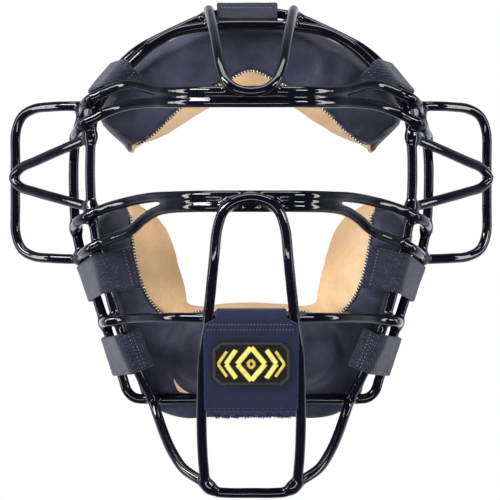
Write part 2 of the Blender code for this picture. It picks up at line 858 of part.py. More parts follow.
def main():
    clear_scene()
    collection = new_collection("catchers_mask")
    materials = {name: new_material(name, finish) for name, finish in FINISHES.items()}
    for name, (line, closed) in cage_lines().items():
        add_wire(name, line, closed, collection, materials["cage"])
    add_pad("forehead_pad", FOREHEAD_PAD, collection, materials)
    add_pad("chin_pad", CHIN_PAD, collection, materials)
    for kind in SIDE_TABS:
        for side in (1, -1):
            add_side_tab(kind, side, collection, materials)
    add_top_tab(collection, materials)
    add_chin_tab(collection, materials)


main()
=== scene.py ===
"""Looks for the catcher's mask: a dipped wire cage, sewn pads, and webbing tabs with their stitching."""

import math

import bmesh
import bpy
import numpy as np
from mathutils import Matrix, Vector, noise
from mathutils.bvhtree import BVHTree


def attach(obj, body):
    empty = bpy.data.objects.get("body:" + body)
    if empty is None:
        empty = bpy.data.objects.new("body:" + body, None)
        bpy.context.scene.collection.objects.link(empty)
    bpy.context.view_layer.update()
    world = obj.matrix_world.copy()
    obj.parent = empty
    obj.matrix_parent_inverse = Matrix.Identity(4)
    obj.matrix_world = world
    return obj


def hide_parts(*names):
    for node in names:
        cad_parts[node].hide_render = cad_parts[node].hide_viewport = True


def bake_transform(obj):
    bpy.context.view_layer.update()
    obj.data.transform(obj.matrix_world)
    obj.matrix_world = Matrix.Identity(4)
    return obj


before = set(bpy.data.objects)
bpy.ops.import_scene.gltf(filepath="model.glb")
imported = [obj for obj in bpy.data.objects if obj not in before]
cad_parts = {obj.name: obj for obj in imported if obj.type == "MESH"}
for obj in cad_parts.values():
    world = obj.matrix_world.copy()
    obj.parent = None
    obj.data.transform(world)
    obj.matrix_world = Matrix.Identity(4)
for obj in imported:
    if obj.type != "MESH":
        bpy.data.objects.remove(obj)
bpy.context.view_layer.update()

# Lists of places are in millimetres, in the frame's axes. They repeat the CAD model's, but the forehead pad's
# seam is a little lower and the ends of both pads are fuller.
MM = 0.001
WIRE_RADIUS = 2.8
WEBBING_THICKNESS = 1.9
TAB_RADIUS = 4.25
HINGE_RADIUS = 5.25

# Right halves of the symmetric wires, from the middle outward.
REAR_LOOP = [
    (0, 0, 132.6), (14, 0, 131.8), (26, 0, 129.2), (40, 0, 123.2), (53.5, 0, 116.7), (61, 0, 112.6),
    (70, 0, 105.4), (84, 0, 89.5), (93, 0, 77), (97.2, 0, 64), (98.7, 0, 50), (98.7, 0, 31),
    (97.4, 0, 11), (94.3, 0, -3), (89.5, 0, -16), (84.6, 0, -31), (77, 0, -54), (71.2, 0, -72),
    (69, 0, -78.5), (65, 0, -82.2), (58, 0, -83), (30, 0, -83), (0, 0, -83),
]
FRONT_LOOP = [
    (0, -24, 123.5), (25, -24, 122.6), (41, -24.4, 119.6), (52, -25.2, 114), (58, -26, 109.6),
    (65.5, -26, 102.5), (73, -26, 94.5), (80, -26, 86), (84.8, -26, 77.5), (87, -26, 70),
    (88.1, -26, 56), (88.1, -26, 32), (86.8, -26, 17), (84.4, -26, 4), (80.5, -26, -12), (76, -26, -30),
    (71.2, -24.5, -45), (65.3, -20.4, -60), (59.4, -12.5, -73.5), (55, -6.1, -83), (51.8, -9.6, -91.5),
    (48.4, -18.5, -100), (43.6, -30, -109.5), (36.8, -41, -118.6), (26.8, -49.6, -124.8),
    (22.4, -51, -128),
]
NOSE_RING = [
    (0, -104, 27.1), (8.4, -104, 25.3), (14.1, -103.9, 20.9), (17.6, -103.6, 11.5), (19.4, -101, -4.2),
    (21.6, -92.4, -24.7), (23.2, -86.6, -38), (25.2, -81.6, -51), (26.4, -70, -80),
    (26.5, -63.6, -96.4), (25.6, -55.6, -116.4), (24.2, -52, -125.5), (19.6, -50.1, -130.2),
    (12, -49.8, -131.2), (0, -49.8, -131.2),
]
BROW_BAR_UPPER = [
    (0, -88, 83.8), (25, -85, 84), (42, -72, 84.6), (52, -60.5, 85.9), (61.5, -49.5, 88.8),
    (68, -43, 89.6), (75, -37.4, 87.9), (81.5, -32.8, 85.4), (87.6, -31, 82.8), (91, -24.5, 80.4),
    (92.6, -12, 77.8), (93.2, 0, 76.2),
]
BROW_BAR_LOWER = [
    (0, -87.6, 77.9), (25, -84.6, 78), (42, -71.8, 78.4), (52, -60.6, 78.9), (64, -48.2, 78.6),
    (73, -39.6, 77), (81, -34, 74.3), (87.2, -32.4, 71.2), (92.1, -29.8, 69.2), (95, -20, 66.4),
    (96.8, -10, 64), (97.4, 0, 62.4),
]
EYE_BAR_UPPER = [
    (0, -98, 28.5), (25, -95, 28.5), (42, -80, 28.4), (55, -62.5, 28), (66, -49, 26.2),
    (78, -38.5, 23.2), (84.5, -33.4, 20.8), (89.6, -31.7, 18.2), (94.2, -25, 16.2), (96.8, -13, 13.8),
    (97.6, 0, 12),
]
EYE_BAR_LOWER = [
    (0, -98, 22.6), (25, -95, 22.6), (42, -79.7, 22.3), (50.5, -68.4, 20.7), (58, -58.5, 16.4),
    (65, -50, 10.6), (75, -40, 6.6), (82, -33.2, 4), (87.4, -31.4, 1.2), (91, -24.5, -1),
    (93.6, -12, -2.8), (94.4, 0, -3.4),
]
JAW_BAR = [
    (0, -80, -36), (17, -79.9, -36), (28, -77.4, -36), (44, -66.8, -36.2), (57, -51, -36.8),
    (66, -38.6, -37.5), (72.8, -32.4, -38.3), (78.2, -29.4, -39), (80.8, -19, -39.8), (81.6, 0, -40.4),
]
FOREHEAD_BAR = [
    (0, -94.2, 83), (7.6, -94, 84.4), (13, -91.8, 88.6), (16.3, -84.6, 96.6), (18.3, -72, 107),
    (20.2, -54, 117.3), (21.6, -36.4, 124.7), (22.8, -20, 130.5), (23.6, -9, 132.8), (23.9, 0, 129.8),
]
EAR_LOOP = [
    (91, 0, 80), (103, 4, 80.3), (113, 11, 80.2), (122, 18, 79.4), (129.4, 23.6, 75.4), (133, 26.4, 67),
    (133.4, 27.2, 50), (133.4, 27.2, 26), (133, 26.4, 8.6), (129.4, 23.6, 0.4), (122, 18, -3.6),
    (112, 10.4, -4.6), (103, 5.2, -5), (93.6, 0, -5.2),
]
EAR_BRACE = [
    (87.9, -26, 61.8), (105, -10, 55.5), (120, 6, 49.8), (130.2, 17.4, 45.6), (134, 21.3, 40.6),
    (130.2, 17.4, 35.8), (120, 6, 32.2), (105, -10, 28), (87.4, -26, 23.2),
]

# Pad stations from the middle outward: the outer edge, the seam between front cover and face leather, and the
# free inner edge (X, Z); the Y of the front face; how far the front slopes back at its outer edge, from 0,
# upright, to 1; and how much of the full section is left where the pad rounds off.
FOREHEAD_PAD = [
    ((0, 128), (0, 99), (0, 84), -20.4, 0, 1),
    ((21, 125.4), (13, 93.6), (9, 82.4), -20.4, 0, 1),
    ((39, 118.4), (25, 87.4), (19.5, 78), -20.8, 0, 1),
    ((56.5, 109.6), (36, 80.4), (29, 73), -22.4, 0, 1),
    ((69.5, 98.6), (43.6, 73.6), (38, 68.2), -22.6, 0, 1),
    ((80.5, 85.6), (50, 67.6), (46, 63), -22.6, 0, 1),
    ((85, 74.4), (56, 62), (53.4, 58.8), -22.6, 0, 0.94),
    ((79.6, 66.2), (60.2, 58.6), (58.2, 56.8), -22, 0, 0.86),
    ((72.4, 59), (64.4, 56), (63, 55.6), -20, 0, 0.66),
]
CHIN_PAD = [
    ((0, -93.6), (0, -34), (0, -28.8), -24, 1, 1),
    ((21, -94.2), (19, -33.4), (15, -28.8), -24, 1, 1),
    ((41, -93.6), (38, -31.6), (27, -28.8), -22, 1, 1),
    ((58.5, -86), (50, -31), (33.6, -28), -16, 0.9, 1),
    ((66, -70.4), (55.2, -30.4), (35.6, -24), -13, 0.3, 1),
    ((73, -49.4), (57.8, -26), (37, -17.6), -18.6, 0, 1),
    ((79.4, -28.6), (60.2, -19), (39, -10), -22.6, 0, 1),
    ((86, -8), (63.4, -8), (41.6, -1), -22.6, 0, 1),
    ((91.2, 8), (65.6, 7), (45.4, 11), -22.6, 0, 0.96),
    ((90.4, 17.4), (65.4, 17.4), (48.4, 18.6), -22, 0, 0.8),
    ((87, 23.6), (66, 23.6), (53, 23.6), -20, 0, 0.52),
]
PAD_BACK = 13.0
FULL_SEAM_REACH = 24.0
SEAM_INDEX = 8

# Side tabs: the height at which each crosses the front wire, its widths there and at the rear wire, how much
# lower it crosses the rear wire, how far its flap reaches inward, the flap's two ends along the wire, and how
# much its lower end rises toward the tip.
SIDE_TABS = {
    "upper": dict(
        height=94.8, width=18.5, rear_width=20.0, sweep=6.2, reach=9.5, flap=(-9.0, 5.4), slant=6.3
    ),
    "cheek": dict(
        height=-12.4, width=22.4, rear_width=21.4, sweep=2.2, reach=18.0, flap=(-10.6, 11.0), slant=-2.0
    ),
    "jaw": dict(
        height=-56.0, width=23.6, rear_width=22.4, sweep=-1.2, reach=9.8, flap=(-11.2, 11.2), slant=-1.0
    ),
}
RNG = np.random.default_rng(7)


def unit(vector):
    """Vectors scaled to length 1."""
    vector = np.asarray(vector, float)
    return vector / np.linalg.norm(vector, axis=-1, keepdims=True)


def mirrored(points):
    """Points moved to the other side of the mask."""
    return np.asarray(points, float) * (-1, 1, 1)


def spline(points, closed=False, per_span=12):
    """A smooth line through the points: centripetal Catmull-Rom."""
    points = np.asarray(points, float)
    if closed:
        ring = np.vstack([points[-1:], points, points[:2]])
    else:
        ring = np.vstack([2 * points[0] - points[1], points, 2 * points[-1] - points[-2]])
    steps = np.arange(per_span)[:, None] / per_span
    line = []
    for before, start, end, after in zip(ring, ring[1:], ring[2:], ring[3:]):
        t1 = np.linalg.norm(start - before) ** 0.5
        t2 = t1 + np.linalg.norm(end - start) ** 0.5
        t3 = t2 + np.linalg.norm(after - end) ** 0.5
        t = t1 + (t2 - t1) * steps
        a1 = before + (start - before) * t / t1
        a2 = start + (end - start) * (t - t1) / (t2 - t1)
        a3 = end + (after - end) * (t - t2) / (t3 - t2)
        b1 = a1 + (a2 - a1) * t / t2
        b2 = a2 + (a3 - a2) * (t - t1) / (t3 - t1)
        line.append(b1 + (b2 - b1) * (t - t1) / (t2 - t1))
    if not closed:
        line.append(points[-1:])
    return np.vstack(line)


def both_halves(half, closed):
    """A whole wire from its right half, left end first."""
    left = mirrored(half[1:])[::-1]
    if closed:
        left = left[1:]
    return np.vstack([left, np.asarray(half, float)])


def lengths_of(line):
    """Distances along a line to each of its points."""
    return np.concatenate([[0], np.cumsum(np.linalg.norm(np.diff(line, axis=0), axis=1))])


def at_lengths(line, places):
    """Points of the line at the given distances along it."""
    lengths = lengths_of(line)
    return np.stack([np.interp(places, lengths, line[:, axis]) for axis in range(line.shape[1])], 1)


def evenly(line, count):
    """The line with a number of points, evenly spaced."""
    return at_lengths(line, np.linspace(0, lengths_of(line)[-1], count))


def resampled(line, step):
    """The line with points an even step apart."""
    return evenly(line, max(2, int(round(lengths_of(line)[-1] / step)) + 1))


def at_length(line, length):
    """The place and direction at a distance along a line."""
    lengths = lengths_of(line)
    index = min(np.searchsorted(lengths, length, side="right") - 1, len(line) - 2)
    along = unit(line[index + 1] - line[index])
    return line[index] + along * (length - lengths[index]), along


def length_at_height(line, height):
    """How far along a falling line its height is first reached."""
    lengths = lengths_of(line)
    index = int(np.argmax(line[:, 2] < height)) - 1
    part = (line[index, 2] - height) / (line[index, 2] - line[index + 1, 2])
    return lengths[index] + (lengths[index + 1] - lengths[index]) * part


def nearest_point(line, target):
    """The place on a line that is nearest to a target."""
    starts = line[:-1]
    spans = np.diff(line, axis=0)
    parts = np.clip(((target - starts) * spans).sum(1) / (spans**2).sum(1), 0, 1)
    places = starts + spans * parts[:, None]
    return places[np.argmin(np.linalg.norm(places - target, axis=1))]


def smoothstep(value):
    value = np.clip(value, 0, 1)
    return value * value * (3 - 2 * value)


def wave_noise(points, scale, seed):
    """Smooth noise from -1 to 1 at points in millimetres; scale is the size of its lumps."""
    shift = Vector((seed * 13.1, seed * 7.7, seed * 3.3))
    return np.array([noise.noise(Vector(point) / scale + shift) for point in points])


def line_noise(places, scale, seed):
    """Smooth noise from -1 to 1 at distances along a line."""
    return wave_noise(np.stack([places, places * 0, places * 0], 1), scale, seed)


def linked(name, data):
    """A new object in the scene."""
    obj = bpy.data.objects.new(name, data)
    bpy.context.scene.collection.objects.link(obj)
    return obj


def ring_faces(first, rings, count):
    """Quads between rings of points that follow one another from a first point."""
    faces = []
    for ring in range(rings - 1):
        for turn in range(count):
            after = (turn + 1) % count
            low = first + ring * count
            faces.append((low + turn, low + after, low + count + after, low + count + turn))
    return faces


def new_object(name, points, faces, material, normals=None, uv=None, smooth=True):
    """A mesh object from places in millimetres."""
    mesh = bpy.data.meshes.new(name)
    mesh.from_pydata((np.asarray(points, float) * MM).tolist(), [], [tuple(map(int, face)) for face in faces])
    if uv is not None:
        layer = mesh.uv_layers.new(name="cloth")
        index = np.empty(len(mesh.loops), np.int32)
        mesh.loops.foreach_get("vertex_index", index)
        layer.data.foreach_set("uv", np.asarray(uv, np.float32)[index].ravel())
    mesh.update()
    if smooth:
        mesh.shade_smooth()
    if normals is not None:
        mesh.normals_split_custom_set_from_vertices(np.asarray(normals, float).tolist())
    for each in material if isinstance(material, (list, tuple)) else [material]:
        mesh.materials.append(each)
    return linked(name, mesh)


def with_modifier(obj, kind, **settings):
    """Adds a modifier and applies it to the mesh."""
    modifier = obj.modifiers.new(kind.lower(), kind)
    for key, value in settings.items():
        setattr(modifier, key, value)
    graph = bpy.context.evaluated_depsgraph_get()
    made = bpy.data.meshes.new_from_object(obj.evaluated_get(graph), depsgraph=graph)
    old = obj.data
    obj.modifiers.clear()
    obj.data = made
    made.name = old.name
    bpy.data.meshes.remove(old)
    return obj


def fitted(piece, slot, body):
    """Gives a piece its body; the slot is not used."""
    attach(piece, body)


def points_of(obj):
    """A mesh's points in millimetres."""
    places = np.empty(len(obj.data.vertices) * 3, np.float32)
    obj.data.vertices.foreach_get("co", places)
    return places.reshape(-1, 3).astype(float) / MM


def set_points(obj, points):
    """Moves a mesh's points to places in millimetres."""
    obj.data.vertices.foreach_set("co", (np.asarray(points) * MM).astype(np.float32).ravel())
    obj.data.update()


def normals_of(obj):
    """A mesh's outward directions at its points."""
    normals = np.empty(len(obj.data.vertices) * 3, np.float32)
    obj.data.vertex_normals.foreach_get("vector", normals)
    return normals.reshape(-1, 3).astype(float)


def capsules(name, ends, ups, radius, material, sides, rise):
    """Short threads that rise between their ends and are pinched at both of them, in one mesh."""
    points = []
    faces = []
    profile = [(0.0, 0.25), (0.12, 0.8), (0.35, 1.0), (0.65, 1.0), (0.88, 0.8), (1.0, 0.25)]
    for (start, end), up in zip(ends, ups):
        start = np.asarray(start, float)
        end = np.asarray(end, float)
        along = unit(end - start)
        side = unit(np.cross(along, up))
        up = np.cross(side, along)
        first = len(points)
        for part, size in profile:
            centre = start + (end - start) * part + up * rise * 4 * part * (1 - part)
            for turn in range(sides):
                angle = 2 * math.pi * turn / sides
                points.append(centre + (side * math.cos(angle) + up * math.sin(angle)) * radius * size)
        faces += ring_faces(first, len(profile), sides)
        last = first + (len(profile) - 1) * sides
        faces.append(tuple(range(first, first + sides))[::-1])
        faces.append(tuple(range(last, last + sides)))
    return new_object(name, points, faces, material)


# --- materials ---


class Maker:
    """A material and short calls that add nodes to it."""

    def __init__(self, name):
        self.material = bpy.data.materials.new(name)
        self.material.use_nodes = True
        self.tree = self.material.node_tree
        self.shader = self.tree.nodes["Principled BSDF"]

    def node(self, kind, values=None, **settings):
        made = self.tree.nodes.new("ShaderNode" + kind)
        for key, value in settings.items():
            setattr(made, key, value)
        for key, value in (values or {}).items():
            self.put(made.inputs[key], value)
        return made

    def put(self, socket, value):
        if isinstance(value, bpy.types.NodeSocket):
            self.tree.links.new(value, socket)
        else:
            socket.default_value = value

    def set(self, **values):
        for key, value in values.items():
            self.put(self.shader.inputs[key.replace("_", " ")], value)

    def places(self, scale=1.0, stretch=(1, 1, 1)):
        """Object coordinates; scale is how many texture units go in a millimetre."""
        texture = self.node("TexCoord").outputs["Object"]
        size = [1000 * scale * part for part in stretch]
        return self.node("Mapping", {"Vector": texture, "Scale": size}).outputs["Vector"]

    def cloth(self, turn=0.0, stretch=(1, 1, 1)):
        """The piece's own flat coordinates in millimetres."""
        flat = self.node("UVMap", uv_map="cloth").outputs["UV"]
        values = {"Vector": flat, "Rotation": (0, 0, turn), "Scale": stretch}
        return self.node("Mapping", values).outputs["Vector"]

    def noise(self, vector, scale=1.0, detail=3.0, roughness=0.55, distortion=0.0):
        values = {"Vector": vector, "Scale": scale, "Detail": detail, "Roughness": roughness}
        values["Distortion"] = distortion
        return self.node("TexNoise", values).outputs["Fac"]

    def cells(self, vector, scale=1.0, feature="F1"):
        made = self.node("TexVoronoi", {"Vector": vector, "Scale": scale}, feature=feature)
        return made.outputs["Distance"]

    def bands(self, vector, direction, scale, distortion, detail):
        values = {"Vector": vector, "Scale": scale, "Distortion": distortion, "Detail": detail}
        return self.node("TexWave", values, wave_type="BANDS", bands_direction=direction).outputs["Fac"]

    def ramp(self, factor, stops):
        made = self.node("ValToRGB", {"Fac": factor})
        ramp = made.color_ramp
        while len(ramp.elements) < len(stops):
            ramp.elements.new(0.5)
        for element, (place, colour) in zip(ramp.elements, stops):
            element.position = place
            element.color = (*colour, 1)
        return made.outputs["Color"]

    def spread(self, factor, low, high, start=0.0, end=1.0):
        """The factor's range from start to end, spread over low to high."""
        values = {"Value": factor, "From Min": start, "From Max": end, "To Min": low, "To Max": high}
        return self.node("MapRange", values).outputs["Result"]

    def math(self, kind, *values):
        made = self.node("Math", operation=kind)
        for socket, value in zip(made.inputs, values):
            self.put(socket, value)
        return made.outputs["Value"]

    def sum(self, first, second, share):
        """The first value and a share of the second."""
        return self.math("ADD", first, self.math("MULTIPLY", second, share))

    def mix(self, factor, first, second, kind="MIX"):
        made = self.node("Mix", data_type="RGBA", blend_type=kind)
        self.put(made.inputs["Factor"], factor)
        for socket, value in ((made.inputs[6], first), (made.inputs[7], second)):
            self.put(socket, (*value, 1) if isinstance(value, tuple) and len(value) == 3 else value)
        return made.outputs[2]

    def bump(self, height, strength, distance, below=None):
        made = self.node("Bump", {"Height": height, "Strength": strength, "Distance": distance * MM})
        if below is not None:
            self.put(made.inputs["Normal"], below)
        return made.outputs["Normal"]

    def crowns(self):
        """How far the surface bulges, from pointiness."""
        return self.node("NewGeometry").outputs["Pointiness"]


def dip_material():
    """Thick glossy dip over steel: near black with a blue cast, slightly uneven and scuffed."""
    maker = Maker("cage_dip")
    broad = maker.noise(maker.places(0.05), 1.0, 2.0)
    fine = maker.noise(maker.places(0.6), 1.0, 4.0)
    scuff = maker.noise(maker.places(0.25, (1, 1, 3)), 1.0, 6.0, 0.7, 1.2)
    cast = maker.spread(broad, 0, 1, 0.3, 0.7)
    colour = maker.mix(cast, (0.0016, 0.0016, 0.0045), (0.0032, 0.0032, 0.0095))
    worn = maker.spread(scuff, 0, 0.5, 0.64, 0.82)
    colour = maker.mix(worn, colour, (0.012, 0.012, 0.022))
    rough = maker.sum(maker.spread(fine, 0.05, 0.1, 0.3, 0.75), worn, 0.22)
    maker.set(Base_Color=colour, Roughness=rough)
    maker.set(IOR=1.47, Coat_Weight=0.25, Coat_Roughness=0.04)
    wavy = maker.noise(maker.places(0.16), 1.0, 2.0)
    under = maker.bump(wavy, 0.22, 0.45)
    maker.set(Normal=maker.bump(fine, 0.06, 0.1, under))
    return maker.material


def vinyl_material():
    """Dark coated cover cloth: fine grain and hairline cracks, a dull sheen, patchy tone and paler crowns."""
    maker = Maker("cover_vinyl")
    where = maker.places(1.0)
    grain = maker.cells(where, 1.15, "F1")
    cracks = maker.cells(maker.places(1.0, (1, 1, 1.2)), 0.75, "DISTANCE_TO_EDGE")
    pebble = maker.noise(where, 2.2, 3.0, 0.6)
    tone = maker.noise(maker.places(0.035), 1.0, 4.0, 0.6)
    tones = [(0.3, (0.0095, 0.01, 0.0225)), (0.52, (0.0205, 0.0215, 0.0465)), (0.72, (0.043, 0.045, 0.087))]
    colour = maker.ramp(tone, tones)
    crown = maker.spread(maker.crowns(), 0, 0.5, 0.5, 0.58)
    colour = maker.mix(crown, colour, (0.06, 0.06, 0.085))
    speck = maker.spread(maker.noise(maker.places(1.6), 1.0, 2.0), 0, 0.35, 0.66, 0.8)
    colour = maker.mix(speck, colour, (0.075, 0.075, 0.11))
    rough = maker.spread(pebble, 0.46, 0.68, 0.3, 0.7)
    maker.set(Base_Color=colour, Roughness=rough)
    maker.set(Sheen_Weight=0.22, Sheen_Roughness=0.4, Specular_IOR_Level=0.33)
    height = maker.sum(maker.spread(grain, 0, 1, 0, 0.6), pebble, 0.6)
    height = maker.math("ADD", height, maker.spread(cracks, -0.5, 0, 0, 0.08))
    creases = maker.noise(maker.places(0.09, (1, 1, 1.7)), 1.0, 5.0, 0.6, 0.8)
    under = maker.bump(creases, 0.5, 1.1)
    maker.set(Normal=maker.bump(height, 0.3, 0.22, under))
    return maker.material


def leather_material():
    """Soft tan face leather: warm mottled colour, pores and fine creases."""
    maker = Maker("face_leather")
    tone = maker.noise(maker.places(0.022), 1.0, 5.0, 0.6)
    tones = [(0.25, (0.58, 0.365, 0.19)), (0.5, (0.72, 0.485, 0.265)), (0.78, (0.81, 0.58, 0.345))]
    colour = maker.ramp(tone, tones)
    mottle = maker.noise(maker.places(0.35), 1.0, 5.0, 0.65)
    colour = maker.mix(maker.spread(mottle, 0, 0.25, 0.4, 0.75), colour, (0.66, 0.44, 0.23), "MULTIPLY")
    pores = maker.cells(maker.places(1.0), 1.5, "F1")
    spots = maker.spread(pores, 0.35, 0, 0.02, 0.16)
    colour = maker.mix(spots, colour, (0.42, 0.25, 0.12))
    rough = maker.spread(mottle, 0.52, 0.7, 0.3, 0.7)
    maker.set(Base_Color=colour, Roughness=rough)
    maker.set(Sheen_Weight=0.12, Specular_IOR_Level=0.32, Subsurface_Weight=0.04, Subsurface_Scale=0.001)
    creases = maker.noise(maker.places(0.16, (1, 1, 0.6)), 1.0, 6.0, 0.62, 1.0)
    under = maker.bump(creases, 0.35, 0.7)
    height = maker.sum(maker.spread(pores, 0, 1, 0, 0.35), mottle, 0.5)
    maker.set(Normal=maker.bump(height, 0.35, 0.16, under))
    return maker.material


def webbing_material(name, dark, light, pale, sheen=0.3):
    """Twill webbing: diagonal wales broken into threads, stray fibres and, inward of a fold, pale flecks.

    The cloth's second coordinate is the distance to the fold, negative on the flap.
    """
    maker = Maker(name)
    wale = maker.bands(maker.cloth(math.radians(38)), "X", 0.24, 0.9, 1.5)
    thread = maker.bands(maker.cloth(), "Y", 0.36, 1.1, 2.0)
    weave = maker.sum(maker.math("MULTIPLY", wale, 0.6), thread, 0.4)
    fuzz = maker.noise(maker.cloth(stretch=(1, 2.2, 1)), 1.5, 4.0, 0.75)
    tone = maker.noise(maker.cloth(stretch=(0.12, 0.12, 1)), 1.0, 4.0)
    colour = maker.mix(maker.spread(weave, 0, 1, 0.2, 0.85), dark, light)
    colour = maker.mix(maker.spread(tone, 0, 0.45, 0.35, 0.75), colour, dark)
    stray = maker.spread(fuzz, 0, 0.7, 0.57, 0.74)
    colour = maker.mix(stray, colour, pale)
    flat = maker.node("SeparateXYZ", {"Vector": maker.cloth()}).outputs["Y"]
    inward = maker.math("MULTIPLY", maker.spread(flat, 1, 0, -2.2, 1.0), maker.spread(flat, 0, 1, -60, -59))
    tilted = maker.cloth(math.radians(-24), (1.25, 0.8, 1))
    spots = maker.node("TexVoronoi", {"Vector": tilted, "Scale": 1.0, "Randomness": 0.62}).outputs["Distance"]
    rows = maker.noise(maker.cloth(stretch=(0.45, 0.45, 1)), 1.0, 4.0)
    fleck = maker.spread(spots, 1, 0, 0.12, 0.42)
    fleck = maker.math("MULTIPLY", fleck, maker.spread(rows, 0.0, 1, 0.36, 0.62))
    fleck = maker.math("MULTIPLY", fleck, inward)
    fleck = maker.math("MULTIPLY", fleck, maker.spread(flat, 0.15, 1, -15, -9))
    colour = maker.mix(maker.math("MULTIPLY", inward, 0.35), colour, dark)
    colour = maker.mix(fleck, colour, tuple(min(1.0, part * 1.8) for part in pale))
    # Painted sheen: the tab's outer side, round the wires and between them, is lightened toward the pale
    # colour, standing in for grazing light.
    outer = maker.math("MULTIPLY", maker.spread(flat, 0, 0.3, 2.5, 6.5), maker.spread(flat, 1, 0, 50, 51))
    colour = maker.mix(outer, colour, pale)
    maker.set(Base_Color=colour, Roughness=maker.spread(fuzz, 0.6, 0.85, 0.3, 0.7))
    maker.set(Sheen_Weight=sheen, Sheen_Roughness=0.4, Specular_IOR_Level=0.3)
    height = maker.sum(maker.sum(weave, fuzz, 0.6), fleck, 1.2)
    maker.set(Normal=maker.bump(height, 0.75, 0.4))
    return maker.material


def fuzzy_material(name, dark, light, scale=1.6, sheen=0.5):
    """Brushed loop pile or hook tape, from object coordinates so that a plain CAD sheet can wear it."""
    maker = Maker(name)
    tufts = maker.noise(maker.places(1.0), scale, 5.0, 0.75)
    loops = maker.cells(maker.places(1.0), scale * 0.9, "F1")
    colour = maker.mix(maker.spread(tufts, 0, 1, 0.35, 0.7), dark, light)
    maker.set(Base_Color=colour, Roughness=maker.spread(loops, 0.78, 0.96, 0, 1))
    maker.set(Sheen_Weight=sheen, Sheen_Roughness=0.6, Specular_IOR_Level=0.2)
    height = maker.sum(tufts, loops, 0.6)
    maker.set(Normal=maker.bump(height, 0.8, 0.45))
    return maker.material


def thread_material(name, dark, light, rough=0.5):
    """Sewing thread: twisted ply, a soft shine and a little colour change from stitch to stitch."""
    maker = Maker(name)
    tone = maker.noise(maker.places(0.4), 1.0, 3.0)
    twist = maker.noise(maker.places(3.5, (1, 1, 0.6)), 1.0, 2.0)
    colour = maker.mix(maker.spread(tone, 0, 1, 0.3, 0.7), dark, light)
    maker.set(Base_Color=colour, Roughness=maker.spread(twist, rough - 0.1, rough + 0.15, 0.3, 0.7))
    maker.set(Sheen_Weight=0.25)
    maker.set(Normal=maker.bump(twist, 0.5, 0.12))
    return maker.material


def foam_material():
    """Grey open-cell foam."""
    maker = Maker("pad_foam")
    cells = maker.cells(maker.places(1.0), 1.8, "F1")
    tone = maker.noise(maker.places(0.2), 1.0, 4.0)
    colour = maker.mix(maker.spread(tone, 0, 1, 0.3, 0.7), (0.14, 0.14, 0.15), (0.22, 0.22, 0.23))
    maker.set(Base_Color=colour, Roughness=maker.spread(cells, 0.8, 0.95, 0, 1))
    maker.set(Normal=maker.bump(cells, 0.6, 0.4))
    return maker.material


# --- the cage ---

# The cell of the distance grid, how far round a wire it is filled in, and the distance elsewhere.
CELL = 0.8
GRID_MARGIN = 7.0
FAR_AWAY = 1000.0
# How close two centre lines come where their wires touch, and how many such places in a row make a seam.
TOUCHING = 6.7
SEAM_PLACES = 8
# How much the dip rounds off a weld, a seam and other places, and how far from a weld it does so.
WELD_BLEND = 5.0
SEAM_BLEND = 3.0
PLAIN_BLEND = 0.35
WELD_REACH = 11.0


def cage_lines():
    """The fine centre line of each wire."""
    halves = {
        "rear_loop": (REAR_LOOP, True),
        "front_loop": (FRONT_LOOP, False),
        "nose_ring": (NOSE_RING, True),
        "brow_bar_upper": (BROW_BAR_UPPER, False),
        "brow_bar_lower": (BROW_BAR_LOWER, False),
        "eye_bar_upper": (EYE_BAR_UPPER, False),
        "eye_bar_lower": (EYE_BAR_LOWER, False),
        "jaw_bar": (JAW_BAR, False),
        "forehead_bar": (FOREHEAD_BAR, False),
    }
    lines = {name: spline(both_halves(half, closed), closed) for name, (half, closed) in halves.items()}
    for name in ("rear_loop", "nose_ring"):
        lines[name] = np.vstack([lines[name], lines[name][:1]])
    for name, points in (("ear_loop", EAR_LOOP), ("ear_brace", EAR_BRACE)):
        lines[name + "_right"] = spline(points)
        lines[name + "_left"] = spline(mirrored(points))
    return {name: resampled(line, 2.0) for name, line in lines.items()}


def weld_places(lines):
    """Middles of the places where two wires touch, and how much the dip rounds each one off."""
    welds = []
    names = list(lines)
    for number, first in enumerate(names):
        for second in names[number + 1 :]:
            apart = np.linalg.norm(lines[first][:, None] - lines[second][None], axis=2)
            nearest = apart.min(1)
            close = np.flatnonzero(nearest < TOUCHING)
            for run in np.split(close, np.flatnonzero(np.diff(close) > 3) + 1):
                if len(run) == 0:
                    continue
                best = run[::2] if len(run) > SEAM_PLACES else [run[np.argmin(nearest[run])]]
                for place in best:
                    other = lines[second][np.argmin(apart[place])]
                    most = SEAM_BLEND if len(best) > 1 else WELD_BLEND
                    welds.append(((lines[first][place] + other) / 2, most))
    return welds


